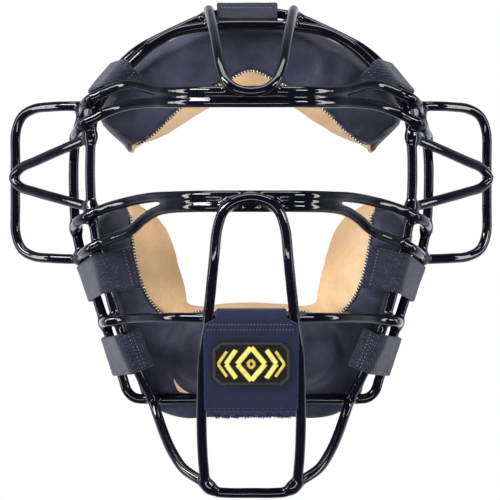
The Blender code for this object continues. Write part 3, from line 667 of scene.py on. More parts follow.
class Field:
    """Distance to the dipped cage on a grid, with soft joins at the welds, and which wire is nearest."""

    def __init__(self, lines):
        every = np.vstack(list(lines.values()))
        self.low = every.min(0) - GRID_MARGIN
        self.shape = np.ceil((every.max(0) + GRID_MARGIN - self.low) / CELL).astype(int) + 1
        self.value = np.full(self.shape, FAR_AWAY, np.float32)
        self.owner = np.zeros(self.shape, np.uint8)
        nearest = np.full(self.shape, FAR_AWAY, np.float32)
        blend = np.full(self.shape, PLAIN_BLEND, np.float32)
        for weld, most in weld_places(lines):
            block, places = self.block(weld, weld, WELD_REACH)
            away = np.linalg.norm(places - weld, axis=-1)
            strength = smoothstep(1.25 - away / WELD_REACH * 1.25) * most
            blend[block] = np.maximum(blend[block], strength.astype(np.float32))
        for number, line in enumerate(lines.values()):
            block = self.block(line.min(0), line.max(0), GRID_MARGIN, False)
            here = self.distance_to(line)[block]
            mine = here < nearest[block]
            self.owner[block][mine] = number
            nearest[block] = np.minimum(nearest[block], here)
            size = blend[block]
            old = self.value[block]
            part = np.clip(0.5 + 0.5 * (old - here) / size, 0, 1)
            self.value[block] = old * (1 - part) + here * part - size * part * (1 - part)

    def distance_to(self, line):
        """Distance to one wire's surface, filled in near the wire."""
        wire = np.full(self.shape, FAR_AWAY, np.float32)
        for start, end in zip(line, line[1:]):
            block, places = self.block(np.minimum(start, end), np.maximum(start, end), GRID_MARGIN)
            span = end - start
            part = np.clip(((places - start) @ span) / (span @ span), 0, 1)
            away = np.linalg.norm(places - start - part[..., None] * span, axis=-1) - WIRE_RADIUS
            wire[block] = np.minimum(wire[block], away.astype(np.float32))
        return wire

    def block(self, low, high, margin, with_places=True):
        """The part of the grid round a box, as slices, and its places in millimetres if asked for."""
        first = np.maximum(np.floor((low - margin - self.low) / CELL).astype(int), 0)
        last = np.minimum(np.ceil((high + margin - self.low) / CELL).astype(int) + 1, self.shape)
        block = tuple(slice(a, b) for a, b in zip(first, last))
        if not with_places:
            return block
        axes = [self.low[axis] + CELL * np.arange(first[axis], last[axis]) for axis in range(3)]
        return block, np.stack(np.meshgrid(*axes, indexing="ij"), -1)

    def at(self, points):
        """The field at points, far outside the grid as 100."""
        place = (np.asarray(points) - self.low) / CELL
        inside = ((place >= 0) & (place < self.shape - 1.001)).all(1)
        place = np.clip(place, 0, self.shape - 1.001)
        base = place.astype(int)
        part = place - base
        total = 0
        for corner in np.ndindex(2, 2, 2):
            weight = np.prod(np.where(corner, part, 1 - part), axis=1)
            index = base + corner
            total = total + weight * self.value[index[:, 0], index[:, 1], index[:, 2]]
        return np.where(inside, total, 100.0)

    def gradient(self, points):
        steps = np.eye(3) * CELL * 0.6
        slopes = np.stack([self.at(points + step) - self.at(points - step) for step in steps], 1)
        return slopes / np.maximum(np.linalg.norm(slopes, axis=1, keepdims=True), 1e-6)


def mean_crossings(field, cells):
    """Where the surface crosses each cell's edges, on average, from the cell's low corner."""
    total = np.zeros((len(cells), 3))
    crossings = np.zeros(len(cells))
    for first in np.ndindex(2, 2, 2):
        for axis in range(3):
            if first[axis]:
                continue
            second = np.array(first)
            second[axis] = 1
            a = field.value[tuple((cells + first).T)]
            b = field.value[tuple((cells + second).T)]
            cross = (a < 0) != (b < 0)
            part = a[cross] / (a[cross] - b[cross])
            total[cross] += np.array(first) + part[:, None] * (second - np.array(first))
            crossings += cross
    return total / crossings[:, None]


def net_quads(inside, index):
    """A quad, facing outward, between the four cells round every grid edge that the surface crosses."""
    quads = []
    for axis in range(3):
        ahead = [slice(1, -1)] * 3
        ahead[axis] = slice(1, None)
        behind = [slice(1, -1)] * 3
        behind[axis] = slice(None, -1)
        start = inside[tuple(behind)]
        edges = np.argwhere(start != inside[tuple(ahead)])
        flips = start[tuple(edges.T)]
        offset = np.ones(3, int)
        offset[axis] = 0
        edges = edges + offset
        u = np.eye(3, dtype=int)[(axis + 1) % 3]
        v = np.eye(3, dtype=int)[(axis + 2) % 3]
        around = [edges - u - v, edges - v, edges, edges - u]
        quad = np.stack([index[tuple(cell.T)] for cell in around], 1)
        quad[~flips] = quad[~flips][:, ::-1]
        quads.append(quad)
    return np.vstack(quads)


def surface_net(field):
    """The cage's surface: points, outward normals, quads, and the wire that each quad is on."""
    inside = field.value < 0
    count = np.zeros(np.array(inside.shape) - 1, np.uint8)
    for i, j, k in np.ndindex(2, 2, 2):
        count += inside[i : i + count.shape[0], j : j + count.shape[1], k : k + count.shape[2]]
    active = (count > 0) & (count < 8)
    cells = np.argwhere(active)
    index = np.full(active.shape, -1, np.int32)
    index[active] = np.arange(len(cells))
    points = field.low + CELL * (cells + mean_crossings(field, cells))
    for _ in range(2):
        points = points - field.gradient(points) * field.at(points)[:, None]
    quads = net_quads(inside, index)
    middle = np.rint((points[quads].mean(1) - field.low) / CELL).astype(int)
    return points, field.gradient(points), quads, field.owner[tuple(middle.T)]


def build_cage(material):
    """Every wire as its own piece, cut from one filleted surface so that the dip runs from wire to wire."""
    lines = cage_lines()
    field = Field(lines)
    points, normals, quads, owners = surface_net(field)
    lumps = 0.07 * wave_noise(points, 9.0, 1)
    points = points + normals * lumps[:, None]
    for number, name in enumerate(lines):
        chosen = quads[owners == number]
        used, chosen = np.unique(chosen, return_inverse=True)
        faces = chosen.reshape(-1, 4)
        piece = new_object(name + "_wire", points[used], faces, material, normals=normals[used])
        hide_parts(name)
        fitted(piece, "cage", "mask")
    return field


# --- pads ---

COLUMNS_PER_SIDE = 3
SEAM_COLUMN = SEAM_INDEX * COLUMNS_PER_SIDE
EDGE_COLUMN = 12 * COLUMNS_PER_SIDE
START_INSET = 1.2
CORE_INSET = 4.2
MOST_SWELL = 4.4
COVER_SHARES = (0.25, 0.35)
CORE_SHARES = (0.65, 1.0)

# A pad's rounded end: how far it reaches, as a part of the last ring's radius, and its rings' angles.
CAP_REACH = 0.35
CAP_TURNS = (28, 55, 76)

CLOTH_FRAMES = 20
CLOTH = {
    "quality": 7,
    "mass": 0.25,
    "tension_stiffness": 14,
    "compression_stiffness": 14,
    "shear_stiffness": 6,
    "bending_stiffness": 0.35,
    "use_pressure": True,
    "uniform_pressure_force": 4.2,
    "shrink_min": -0.035,
    "vertex_group_mass": "seams",
}

# Soft creases in the pads' covers, on their right halves: the line, how deep it is and how wide.
FOREHEAD_CREASES = [
    ([(48, -22, 110), (45, -22, 98), (43, -21, 86)], 0.7, 3.0),
    ([(29, -21, 117), (33, -21, 106), (35, -21, 97)], 0.55, 2.6),
    ([(62, -22, 99), (56, -22, 92), (52, -22, 82)], 0.6, 2.6),
    ([(20, -21, 121), (22, -21, 113)], 0.5, 2.2),
]
CHIN_CREASES = [
    ([(40, -22, -44), (47, -20, -58), (44, -16, -70), (34, -12, -78)], 0.9, 3.2),
    ([(30, -24, -42), (34, -22, -54), (30, -20, -66)], 0.7, 2.8),
    ([(64, -16, -40), (66, -12, -54), (62, -8, -66)], 0.6, 2.4),
    ([(31, -12, -79), (40, -15, -73), (50, -16, -65)], 1.0, 2.3),
]

# The leather tongue's tip, its two lower corners and the bend of its inner edge (X, Z).
TONGUE = ((-43.0, -70.6), (-40.4, -79.6), (-32.6, -79.8), (-39.4, -78.2))


def pad_outline(station):
    """A pad's outer edge, inward direction and outline there: inward from the outer edge, and backward."""
    outer, seam, free = (np.array(station[index : index + 2]) for index in (0, 2, 4))
    front, slope, fullness = station[6:9]
    inward = unit(free - outer)
    seam_u = (seam - outer) @ inward
    free_u = np.linalg.norm(free - outer)
    rim = free_u - seam_u
    size = min(1, seam_u / FULL_SEAM_REACH)
    upright = [
        (5 * size, PAD_BACK - 1),
        (0.4, 8),
        (0.5, 0),
        (2.4 * size, -12),
        (5.6 * size, front + 1.4),
        (9.5 * size, front),
        (seam_u - 6 * size, front),
        (seam_u - 1.8 * size, front + 0.7),
    ]
    sloped = [
        (5 * size, PAD_BACK - 1),
        (0.4, 9.6),
        (2.6 * size, 6),
        (10.8 * size, 4.6),
        (17.4 * size, -0.4),
        (25.5 * size, front + 7),
        (seam_u * 0.66, front + 0.8),
        (seam_u - 3 * size, front + 0.4),
    ]
    outline = list(np.array(upright) * (1 - slope) + np.array(sloped) * slope)
    outline += [
        (seam_u, front + 3),
        (seam_u + rim * 0.4, front * 0.55),
        (seam_u + rim * 0.82, front * 0.05),
        (free_u, 5),
        (free_u - 2 * size, PAD_BACK - 2),
        (free_u * 0.74, PAD_BACK),
        (free_u * 0.44, PAD_BACK - 0.6),
    ]
    middle = np.array((free_u * 0.5, (front + PAD_BACK) / 2))
    return outer, inward, middle + (np.array(outline) - middle) * fullness


def pad_stations(half, steps):
    """Stations along a whole pad, from its left end to its right, with smooth steps in between."""
    right = [(*outer, *seam, *free, *rest) for outer, seam, free, *rest in half]
    left = [(-ox, oz, -sx, sz, -fx, fz, *rest) for ox, oz, sx, sz, fx, fz, *rest in right]
    keys = np.array(list(reversed(left[1:])) + right, float)
    keys = np.vstack([keys[:1], keys, keys[-1:]])
    stations = []
    for a, b, c, d in zip(keys, keys[1:], keys[2:], keys[3:]):
        for step in range(steps):
            t = step / steps
            bend = 2 * a - 5 * b + 4 * c - d + t * (3 * (b - c) + d - a)
            stations.append(b + 0.5 * t * (c - a + t * bend))
    stations.append(keys[-1])
    return stations


def inset_shares(shares):
    """How much of the inset each place on a pad's outline takes: less at the seams and the outer edge."""
    share = np.ones(15)
    share[[0, SEAM_INDEX]], share[[1, 2, 3]] = shares
    return share


def inset(outline, distance, fullness, shares):
    """A closed anticlockwise outline moved inward, hardly at all where the pad ends."""
    along = unit(np.roll(outline, -1, 0) - np.roll(outline, 1, 0))
    share = shares[0] + (inset_shares(shares) - shares[0]) * smoothstep((fullness - 0.6) / 0.35)
    return outline + np.stack([-along[:, 1], along[:, 0]], 1) * (distance * share)[:, None]


def pad_rings(half, steps, distance, shares, skip=0):
    """Rings of points round a pad, with rounded ends. It may stop a number of rings short at both ends."""
    rings = []
    stations = pad_stations(half, steps)
    for station in stations[skip : len(stations) - skip]:
        outer, inward, outline = pad_outline(station)
        smooth = spline(inset(outline, distance, station[8], shares), True, COLUMNS_PER_SIDE)
        x, z = (outer[axis] + inward[axis] * smooth[:, 0] for axis in (0, 1))
        rings.append(np.stack([x, smooth[:, 1], z], 1))
    for last, before in ((0, 1), (-1, -2)):
        middle = rings[last].mean(0)
        away = unit(middle - rings[before].mean(0))
        reach = CAP_REACH * np.linalg.norm(rings[last] - middle, axis=1).mean()
        caps = []
        for angle in map(math.radians, CAP_TURNS):
            caps.append(middle + (rings[last] - middle) * math.cos(angle) + away * reach * math.sin(angle))
        rings = caps[::-1] + rings if last == 0 else rings + caps
    return rings


def pad_mesh(name, rings, materials):
    """A closed pad through its rings: cover faces take the first material, leather faces the second."""
    count = len(rings[0])
    points = np.vstack(rings + [rings[0].mean(0)[None], rings[-1].mean(0)[None]])
    first_pole, last_pole = len(points) - 2, len(points) - 1
    faces = []
    kinds = []
    for row in range(len(rings) - 1):
        for column in range(count):
            after = (column + 1) % count
            low = row * count
            faces.append((low + column, low + count + column, low + count + after, low + after))
            kinds.append(int(column >= SEAM_COLUMN))
    top = (len(rings) - 1) * count
    for column in range(count):
        after = (column + 1) % count
        faces.append((first_pole, column, after))
        faces.append((last_pole, top + after, top + column))
        kinds += [int(column >= SEAM_COLUMN)] * 2
    obj = new_object(name, points, faces, materials)
    obj.data.polygons.foreach_set("material_index", kinds)
    maker = bmesh.new()
    maker.from_mesh(obj.data)
    if maker.calc_volume(signed=True) < 0:
        bmesh.ops.reverse_faces(maker, faces=maker.faces[:])
        maker.to_mesh(obj.data)
    maker.free()
    return obj


def inflate(obj, pinned, most, count):
    """Swells a sewn pad under pressure. Its seams stay still, and no point moves further than its most."""
    start = points_of(obj)
    group = obj.vertex_groups.new(name="seams")
    for index in np.flatnonzero(pinned > 0):
        group.add([int(index)], float(pinned[index]), "REPLACE")
    cloth = obj.modifiers.new("cloth", "CLOTH")
    settings = cloth.settings
    for key, value in CLOTH.items():
        setattr(settings, key, value)
    settings.effector_weights.gravity = 0
    cloth.collision_settings.use_collision = False
    cloth.point_cache.frame_start = 1
    cloth.point_cache.frame_end = CLOTH_FRAMES
    scene = bpy.context.scene
    for number in range(1, CLOTH_FRAMES + 1):
        scene.frame_set(number)
    graph = bpy.context.evaluated_depsgraph_get()
    evaluated = obj.evaluated_get(graph)
    places = np.empty(len(evaluated.data.vertices) * 3, np.float32)
    evaluated.data.vertices.foreach_get("co", places)
    swelled = places.reshape(-1, 3).astype(float) / MM
    obj.modifiers.clear()
    obj.vertex_groups.clear()
    scene.frame_set(1)
    move = swelled - start
    length = np.linalg.norm(move, axis=1)
    move *= (np.minimum(length, most) / np.maximum(length, 1e-6))[:, None]
    grid = move[:-2].reshape(-1, count, 3)
    for _ in range(3):
        beside = (np.roll(grid, 1, 1) + np.roll(grid, -1, 1)) / 4
        beside[1:-1] += (grid[:-2] + grid[2:]) / 4
        beside[[0, -1]] *= 2
        grid = 0.4 * grid + 0.6 * beside
    move[:-2] = grid.reshape(-1, 3) * (1 - pinned[:-2])[:, None]
    set_points(obj, start + move)


def kept_clear(points, field, clearance):
    """Points moved out of the cage's wires, which press into whatever swells against them."""
    for _ in range(3):
        short = clearance - field.at(points)
        close = short > 0
        points[close] += field.gradient(points[close]) * short[close][:, None]
    return points


def nearest_along(points, line):
    """Distance from each point to a line, and how far along the line the nearest place is."""
    fine = resampled(line, 0.5)
    lengths = lengths_of(fine)
    away = np.empty(len(points))
    along = np.empty(len(points))
    for first in range(0, len(points), 4000):
        part = np.linalg.norm(points[first : first + 4000, None] - fine[None], axis=2)
        index = part.argmin(1)
        away[first : first + 4000] = part[np.arange(len(index)), index]
        along[first : first + 4000] = lengths[index]
    return away, along


def tab_zones():
    """Places where a tab lies on a pad, which may not swell there: middle and radius."""
    zones = [(np.array((-2.2, 0.0, 128.0)), 23.0), (np.array((0.0, -26.0, -50.0)), 24.0)]
    for kind, tab in SIDE_TABS.items():
        hinge, _, inward, forward = side_frame(kind)
        middle = hinge + inward * tab["reach"] * 0.45 - forward * 7
        behind = side_tab_shape(kind, 1)[0][0]
        for side in (1, -1):
            zones.append((middle * (side, 1, 1), 0.5 * tab["width"] + 6))
            zones.append((behind * (side, 1, 1), 0.5 * tab["rear_width"] + 5))
    return zones


def tube(name, line, radius, material, sides=8):
    """A thin round cord along a line, tapered at both ends."""
    along = unit(np.gradient(line, axis=0))
    side = np.cross(along[0], (0.31, 0.5, 0.8))
    points = []
    for number, (place, direction) in enumerate(zip(line, along)):
        side = unit(side - direction * (side @ direction))
        up = np.cross(direction, side)
        size = radius * (0.2 + 0.8 * smoothstep(min(number, len(line) - 1 - number) / 5))
        for turn in range(sides):
            angle = 2 * math.pi * turn / sides
            points.append(place + (side * math.cos(angle) + up * math.sin(angle)) * size)
    faces = ring_faces(0, len(line), sides)
    faces.append(tuple(range(sides))[::-1])
    faces.append(tuple(range(len(points) - sides, len(points))))
    return new_object(name, points, faces, material)


def trimming(name, line, step, radius, material):
    """A cord along a pad, through every station's point."""
    return tube(name, resampled(spline(line, False, 4), step), radius, material)


def split_off(obj, kind, name):
    """A new object from the faces of one material."""
    maker = bmesh.new()
    maker.from_mesh(obj.data)
    others = [face for face in maker.faces if face.material_index != kind]
    bmesh.ops.delete(maker, geom=others, context="FACES")
    for face in maker.faces:
        face.material_index = 0
    mesh = bpy.data.meshes.new(name)
    maker.to_mesh(mesh)
    maker.free()
    mesh.materials.append(obj.data.materials[kind])
    return linked(name, mesh)


def surface_finder(obj):
    """A tree that finds the nearest place on a mesh, in millimetres."""
    return BVHTree.FromPolygons(
        [tuple(point) for point in points_of(obj)], [tuple(face.vertices) for face in obj.data.polygons]
    )


def tucked_inside(points, finder, depth):
    """Points brought at least a depth inside a closed surface."""
    places = []
    for point in points:
        near, normal = finder.find_nearest(Vector(point))[:2]
        short = depth + (Vector(point) - near).dot(normal)
        places.append(Vector(point) - normal * max(short, 0.0))
    return np.array(places)


def overcast(name, seam, finder, toward, near, far, pitch, radius, material):
    """Short slanting stitches over a seam's edge, on the surface under it."""
    line = resampled(seam, pitch)
    parts = np.linspace(0, 1, len(line))
    known = np.linspace(0, 1, len(toward))
    aims = np.stack([np.interp(parts, known, toward[:, axis]) for axis in range(3)], 1)
    ends = []
    ups = []
    for place, aim, way in zip(line, aims, unit(np.gradient(line, axis=0))):
        across = unit(aim - place)
        found, normal = finder.find_nearest(Vector(place + across * (far + RNG.normal(0, 0.07))))[:2]
        normal = np.array(normal)
        start = place + across * near + normal * 0.55 - way * pitch * 0.16
        ends.append((start, np.array(found) + normal * radius * 0.5 + way * pitch * 0.16))
        ups.append(normal)
    return capsules(name, ends, ups, radius, material, 6, 0.22)


def swell_limits(start, column):
    """How far each point of a pad may swell: less where its outline is less inset, and least under a tab."""
    share = inset_shares(COVER_SHARES)
    share = np.interp(column / COLUMNS_PER_SIDE, np.arange(16), np.append(share, share[0]))
    most = np.full(len(start), MOST_SWELL)
    for middle, radius in tab_zones():
        away = np.linalg.norm(start - middle, axis=1)
        most = np.minimum(most, START_INSET * 0.85 * share + smoothstep((away - radius) / 15) * MOST_SWELL)
    return np.where(start[:, 1] > PAD_BACK - 3, np.minimum(most, START_INSET + 1.6), most)


def cover_relief(points, seam, poles, creases):
    """How far a pad's skin moves outward: puckers and a groove at the seam, then lumps and creases."""
    away, along = nearest_along(points, seam)
    phase = 2.2 * line_noise(along, 21.0, 3)
    pucker = np.sin(2 * math.pi * along / 7.5 + phase) * np.exp(-away / 5.5) * 0.22
    pucker += np.sin(2 * math.pi * along / 3.4 - phase) * np.exp(-away / 3.0) * 0.12
    groove = np.exp(-((away / 1.25) ** 2))
    soft = 0.55 * wave_noise(points, 17.0, 5) + 0.22 * wave_noise(points, 7.0, 6)
    soft *= smoothstep(away / 9)
    shift = pucker - groove + soft * 0.8 - 0.2
    for line, depth, width in creases:
        for flip in (1, -1):
            gap, place = nearest_along(points, np.array(line, float) * (flip, 1, 1))
            total = lengths_of(np.array(line, float))[-1]
            fade = np.sin(np.clip(place / total, 0.02, 0.98) * math.pi) ** 0.6
            shift -= depth * fade * np.exp(-((gap / width) ** 2))
            shift += 0.45 * depth * fade * np.exp(-(((gap - 2.2 * width) / width) ** 2))
    for middle, radius in tab_zones():
        apart = np.linalg.norm(points - middle, axis=1)
        shift = np.where(apart < radius, np.minimum(shift, -0.1), shift)
    tip = np.linalg.norm(points[:, None] - poles[None], axis=2).min(1)
    return shift * smoothstep((tip - 3) / 9)


def build_pad(name, half, steps, field, finishes, creases):
    """A sewn pad: cover, face leather, foam, overcast seam, cord, edge binding and piping."""
    cover, leather, foam, cream, dark, binding = finishes
    rings = pad_rings(half, steps, START_INSET, COVER_SHARES)
    count = len(rings[0])
    obj = pad_mesh(name, rings, [cover, leather])
    column = np.concatenate([np.tile(np.arange(count), len(rings)), [99, 99]])
    row = np.concatenate([np.repeat(np.arange(len(rings)), count), [0, 0]])
    inner_row = (row > 2) & (row < len(rings) - 3)
    pinned = np.where(((column == SEAM_COLUMN) | (column == 0)) & inner_row, 1.0, 0.0)
    inflate(obj, pinned, swell_limits(points_of(obj), column), count)
    set_points(obj, kept_clear(points_of(obj), field, 0.5))
    with_modifier(obj, "SUBSURF", levels=2, render_levels=2)
    points = points_of(obj)
    first = np.arange(len(rings)) * count
    lines = (SEAM_COLUMN, SEAM_COLUMN + 4, EDGE_COLUMN, 0)
    seam, inner, edge, back = (points[first + line] for line in lines)
    poles = points[len(rings) * count : len(rings) * count + 2]
    shift = cover_relief(points, seam, poles, creases)
    set_points(obj, kept_clear(points + normals_of(obj) * shift[:, None], field, 0.35))
    whole = surface_finder(obj)
    shell = split_off(obj, 0, name + "_cover_sewn")
    face = split_off(obj, 1, name + "_leather_sewn")
    bpy.data.objects.remove(obj)
    finder = surface_finder(face)
    stitches = overcast(name + "_overcast", seam[6:-6], finder, inner[6:-6], -0.7, 1.3, 1.75, 0.42, cream)
    cord = trimming(name + "_seam_cord", seam[5:-5], 1.5, 0.8, dark)
    rim = trimming(name + "_edge_binding", edge[7:-7], 2.0, 0.6, binding)
    piping = trimming(name + "_back_piping", back[7:-7], 2.0, 1.15, cover)
    core_rings = pad_rings(half, steps, CORE_INSET, CORE_SHARES, steps + 1)
    core = pad_mesh(name + "_foam_core", core_rings, [foam, foam])
    set_points(core, tucked_inside(points_of(core), whole, 0.7))
    soft = ((shell, "_cover", "vinyl"), (face, "_leather", "leather"), (core, "_foam", "foam"))
    for piece, node, slot in soft:
        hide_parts(name + node)
        fitted(piece, slot, "mask")
    for piece, slot in ((stitches, "leather"), (cord, "vinyl"), (rim, "leather"), (piping, "vinyl")):
        fitted(piece, slot, "mask")
    return shell


def build_tongue(shell, leather):
    """The tip of the face leather, low on the chin pad's left side, that the cover is turned over."""
    finder = surface_finder(shell)
    tip, low, inner, bend = (np.array(place) for place in TONGUE)
    rows = 12
    columns = 7
    points = []
    for row in np.linspace(0, 1, rows):
        left = tip + (low - tip) * row + np.array((-0.7, 0)) * math.sin(row * math.pi)
        right = tip * (1 - row) ** 2 + bend * 2 * row * (1 - row) + inner * row * row
        for column in np.linspace(0, 1, columns):
            x, z = left + (right - left) * column
            found = finder.ray_cast(Vector((x, -60, z)), Vector((0, 1, 0)))[0]
            swell = 0.75 * math.sin(min(1, column * 1.05) * math.pi) ** 0.5
            rise = swell * min(1, row * 4) * min(1, (1.04 - row) * 6)
            points.append((x, found.y + 0.25 - rise, z))
    points += [(x, y + 1.0, z) for x, y, z in points]
    faces = []
    size = rows * columns
    for row in range(rows - 1):
        for column in range(columns - 1):
            a = row * columns + column
            faces.append((a, a + 1, a + columns + 1, a + columns))
            faces.append((a + size, a + size + columns, a + size + columns + 1, a + size + 1))
    border = [(0, column) for column in range(columns)]
    border += [(row, columns - 1) for row in range(1, rows)]
    border += [(rows - 1, column) for column in range(columns - 2, -1, -1)]
    border += [(row, 0) for row in range(rows - 2, 0, -1)]
    border = [row * columns + column for row, column in border]
    for first, second in zip(border, border[1:] + border[:1]):
        faces.append((first, first + size, second + size, second))
    piece = new_object("chin_pad_leather_tongue", points, faces, leather)
    fitted(piece, "leather", "mask")


# --- tabs ---

FLAP_DROP = 3.4
TOP_TAB_LEAN = math.radians(120)
TOP_TAB_REACH = 19.0
TOP_TAB_HALF_WIDTH = 17.0
TOP_TAB_MIDDLE = -2.2
CHIN_TAB_ROOT = (-25.8, -50.0)
CHIN_NECK_HALF_WIDTH = 17.5
CHIN_FLAP_HALF_WIDTH = 25.0
CHIN_FLAP_TOP = -36.0
CHIN_FLAP_BOTTOM = -84.5
CHIN_PILE_BOTTOM = -88.5
EMBLEM_SIZE = (42.0, 26.0)
EMBLEM_PLACE = 0.45
PATCH_THICKNESS = 0.9
PATCH_GAP = 0.2
HOOK_GAP = 0.3
CHIN_PILE_THICKNESS = 1.5
CHIN_PILE_HALF_WIDTH = 21.0
FRINGE_FIBRES = 2000
# The cloth's second coordinate at the end of webbing that wears no pale flecks.
NO_TIP = 80


def side_frame(kind):
    """A right-hand side tab's hinge point, and its directions along the wire, inward and forward."""
    front = spline(FRONT_LOOP)
    place, along = at_length(front, length_at_height(front, SIDE_TABS[kind]["height"]))
    forward = unit(np.array((0.0, -1.0, 0.0)) + along * along[1])
    inward = np.cross(along, forward)
    if inward[0] > 0:
        inward = -inward
    return place + forward * HINGE_RADIUS, along, inward, forward


def arc(centre, radius, start, end, steps):
    """Points round a centre, from one angle to another in degrees."""
    angles = np.radians(np.linspace(start, end, steps + 1))
    return np.asarray(centre, float) + radius * np.stack([np.cos(angles), np.sin(angles)], 1)


def rim_steps(length, step, rim):
    """Places across a strip: even in the middle and closer together at both rims."""
    near = rim * np.array((0.0, 0.08, 0.3, 0.65))
    inner = np.linspace(rim, length - rim, max(2, int(round((length - 2 * rim) / step)) + 1))
    return np.concatenate([near, inner, length - near[::-1]])


def strip(name, line, half_widths, across, thickness, material, step, wave, seed, shape=None, tip=0.0):
    """Webbing along a middle line, with rounded edges; across is the strip's direction sideways.

    A shape function may place the points itself, from the part of the length and the part of the width.
    The tip is the cloth's second coordinate at the line's end.
    """
    length = lengths_of(line)[-1]
    rim = 0.5 * thickness
    rows = rim_steps(length, step, rim)
    wide = 2 * max(half_widths[:, 1])
    columns = rim_steps(wide, step, rim)
    middle = at_lengths(line, rows)
    half = np.interp(rows, half_widths[:, 0], half_widths[:, 1])
    part = columns / wide * 2 - 1
    if shape is None:
        ragged = 0.14 * line_noise(rows, 3.0, seed + 9)
        aside = part[None, :] * (half + ragged)[:, None]
        grid = middle[:, None] + np.asarray(across)[None, None] * aside[..., None]
    else:
        grid = shape(rows / length, part)
    down = np.gradient(grid, axis=0)
    over = np.gradient(grid, axis=1)
    normal = unit(np.cross(down, over))
    flat = np.stack(np.broadcast_arrays(part[None, :] * half[:, None], (length - rows)[:, None] + tip), -1)
    lumps = np.stack([flat[..., 0], flat[..., 1], flat[..., 0] * 0], -1).reshape(-1, 3)
    grid = grid + normal * (wave * wave_noise(lumps, 6.5, seed).reshape(grid.shape[:2]))[..., None]
    sides = ((rows, length), (columns, wide))
    edge = [1 - np.clip(np.minimum(at, total - at) / rim, 0, 1) for at, total in sides]
    full = np.sqrt(1 - edge[0] ** 2)[:, None] * np.sqrt(1 - edge[1] ** 2)[None, :]
    top = grid + normal * (full * thickness / 2)[..., None]
    bottom = grid - normal * (full * thickness / 2)[..., None]
    upper = np.arange(grid.shape[0] * grid.shape[1]).reshape(grid.shape[:2])
    lower = upper.copy()
    inner = np.s_[1:-1, 1:-1]
    lower[inner] = upper.size + np.arange(lower[inner].size).reshape(lower[inner].shape)
    points = np.vstack([top.reshape(-1, 3), bottom[inner].reshape(-1, 3)])
    uv = np.vstack([flat.reshape(-1, 2), flat[inner].reshape(-1, 2)])
    faces = []
    for index, turn in ((upper, 1), (lower, -1)):
        quads = np.stack([index[:-1, :-1], index[1:, :-1], index[1:, 1:], index[:-1, 1:]], -1).reshape(-1, 4)
        faces.append(quads[:, ::turn])
    return new_object(name, points, np.vstack(faces), material, uv=uv)


def side_tab_shape(kind, side):
    """The middle surface of a side tab: round the rear wire, across, round the front wire and inward."""
    front = spline(FRONT_LOOP)
    rear = spline(REAR_LOOP)
    tab = SIDE_TABS[kind]
    hinge, along, inward, forward = side_frame(kind)
    middle = length_at_height(front, tab["height"])
    upper_end, lower_end = tab["flap"]
    lines = []
    for part in np.linspace(-0.5, 0.5, 9):
        place, way = at_length(front, middle + tab["width"] * part)
        sweep = tab["sweep"] + (tab["rear_width"] - tab["width"]) * part
        back = nearest_point(rear, place + way * sweep)
        across = unit(place - back)
        outward = unit(np.cross(across, way))
        if outward[0] < 0:
            outward = -outward
        fold = math.degrees(math.atan2(forward @ across, forward @ outward))
        rear_wire = (-np.linalg.norm(place - back), 0)
        turns = [arc(rear_wire, TAB_RADIUS, 205, 90, 14), arc((0, 0), TAB_RADIUS, 90, 90 - fold, 12)]
        flat = np.vstack(turns)
        wire = np.where(flat[:, 0] > rear_wire[0] / 2, 0, rear_wire[0])
        flat[:, 0] = wire + (flat[:, 0] - wire) / np.linalg.norm(np.cross(across, way))
        line = [place + across * x + outward * y for x, y in flat]
        for reach in np.linspace(1.2, tab["reach"], 9):
            low = lower_end - tab["slant"] * reach / tab["reach"]
            place_along = upper_end + (low - upper_end) * (part + 0.5)
            height = -WEBBING_THICKNESS / 2 - FLAP_DROP * reach / tab["reach"]
            line.append(hinge + along * place_along + inward * reach + forward * height)
        lines.append(resampled(np.array(line), 0.6))
    count = max(len(line) for line in lines)
    surface = np.array([evenly(line, count) for line in lines]) * (side, 1, 1)

    def shape(rows, parts):
        at = (parts + 1) / 2 * 8
        first = np.clip(at.astype(int), 0, 7)
        mix = (at - first)[:, None, None]
        columns = surface[first] * (1 - mix) + surface[first + 1] * mix
        at = rows * (count - 1)
        first = np.clip(at.astype(int), 0, count - 2)
        mix = (at - first)[None, :, None]
        return (columns[:, first] * (1 - mix) + columns[:, first + 1] * mix).transpose(1, 0, 2)

    return surface[4], shape


def patch(name, corners, thickness, material, seed, body, slot):
    """A thin soft patch between four corners, with a rounded rim and an uneven face."""
    a, b, c, d = (np.asarray(corner, float) for corner in corners)
    line = resampled(np.array([(a + b) / 2, (c + d) / 2]), 1.0)

    def shape(rows, parts):
        down = rows[:, None, None]
        over = ((parts + 1) / 2)[None, :, None]
        return (a * (1 - over) + b * over) * (1 - down) + (d * (1 - over) + c * over) * down

    half = np.array([(0, np.linalg.norm(b - a) / 2), (1, np.linalg.norm(b - a) / 2)])
    piece = strip(name, line, half, unit(b - a), thickness, material, 0.9, 0.16, seed, shape)
    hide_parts(name + "_patch")
    fitted(piece, slot, body)


def patch_pair(name, corners_at, hook, pile, seed, body):
    """The hook patch under a flap and the loop patch that it meets."""
    back = -WEBBING_THICKNESS - PATCH_GAP
    corners = corners_at(back - PATCH_THICKNESS / 2)
    patch(name + "_hook", corners, PATCH_THICKNESS, hook, seed, body, "hook")
    corners = corners_at(back - PATCH_THICKNESS * 1.5 - HOOK_GAP)
    patch(name + "_loop", corners, PATCH_THICKNESS, pile, seed + 1, "mask", "pile")


def running_stitches(name, line, normal, length, gap, radius, material):
    """A straight row of stitches on a face."""
    line = resampled(np.asarray(line, float), 0.4)
    lengths = lengths_of(line)
    ends = []
    start = 0.4
    while start + length < lengths[-1]:
        ends.append((at_length(line, start)[0], at_length(line, start + length)[0]))
        start += length + gap + RNG.normal(0, 0.05)
    return capsules(name, ends, [normal] * len(ends), radius, material, 6, 0.1)


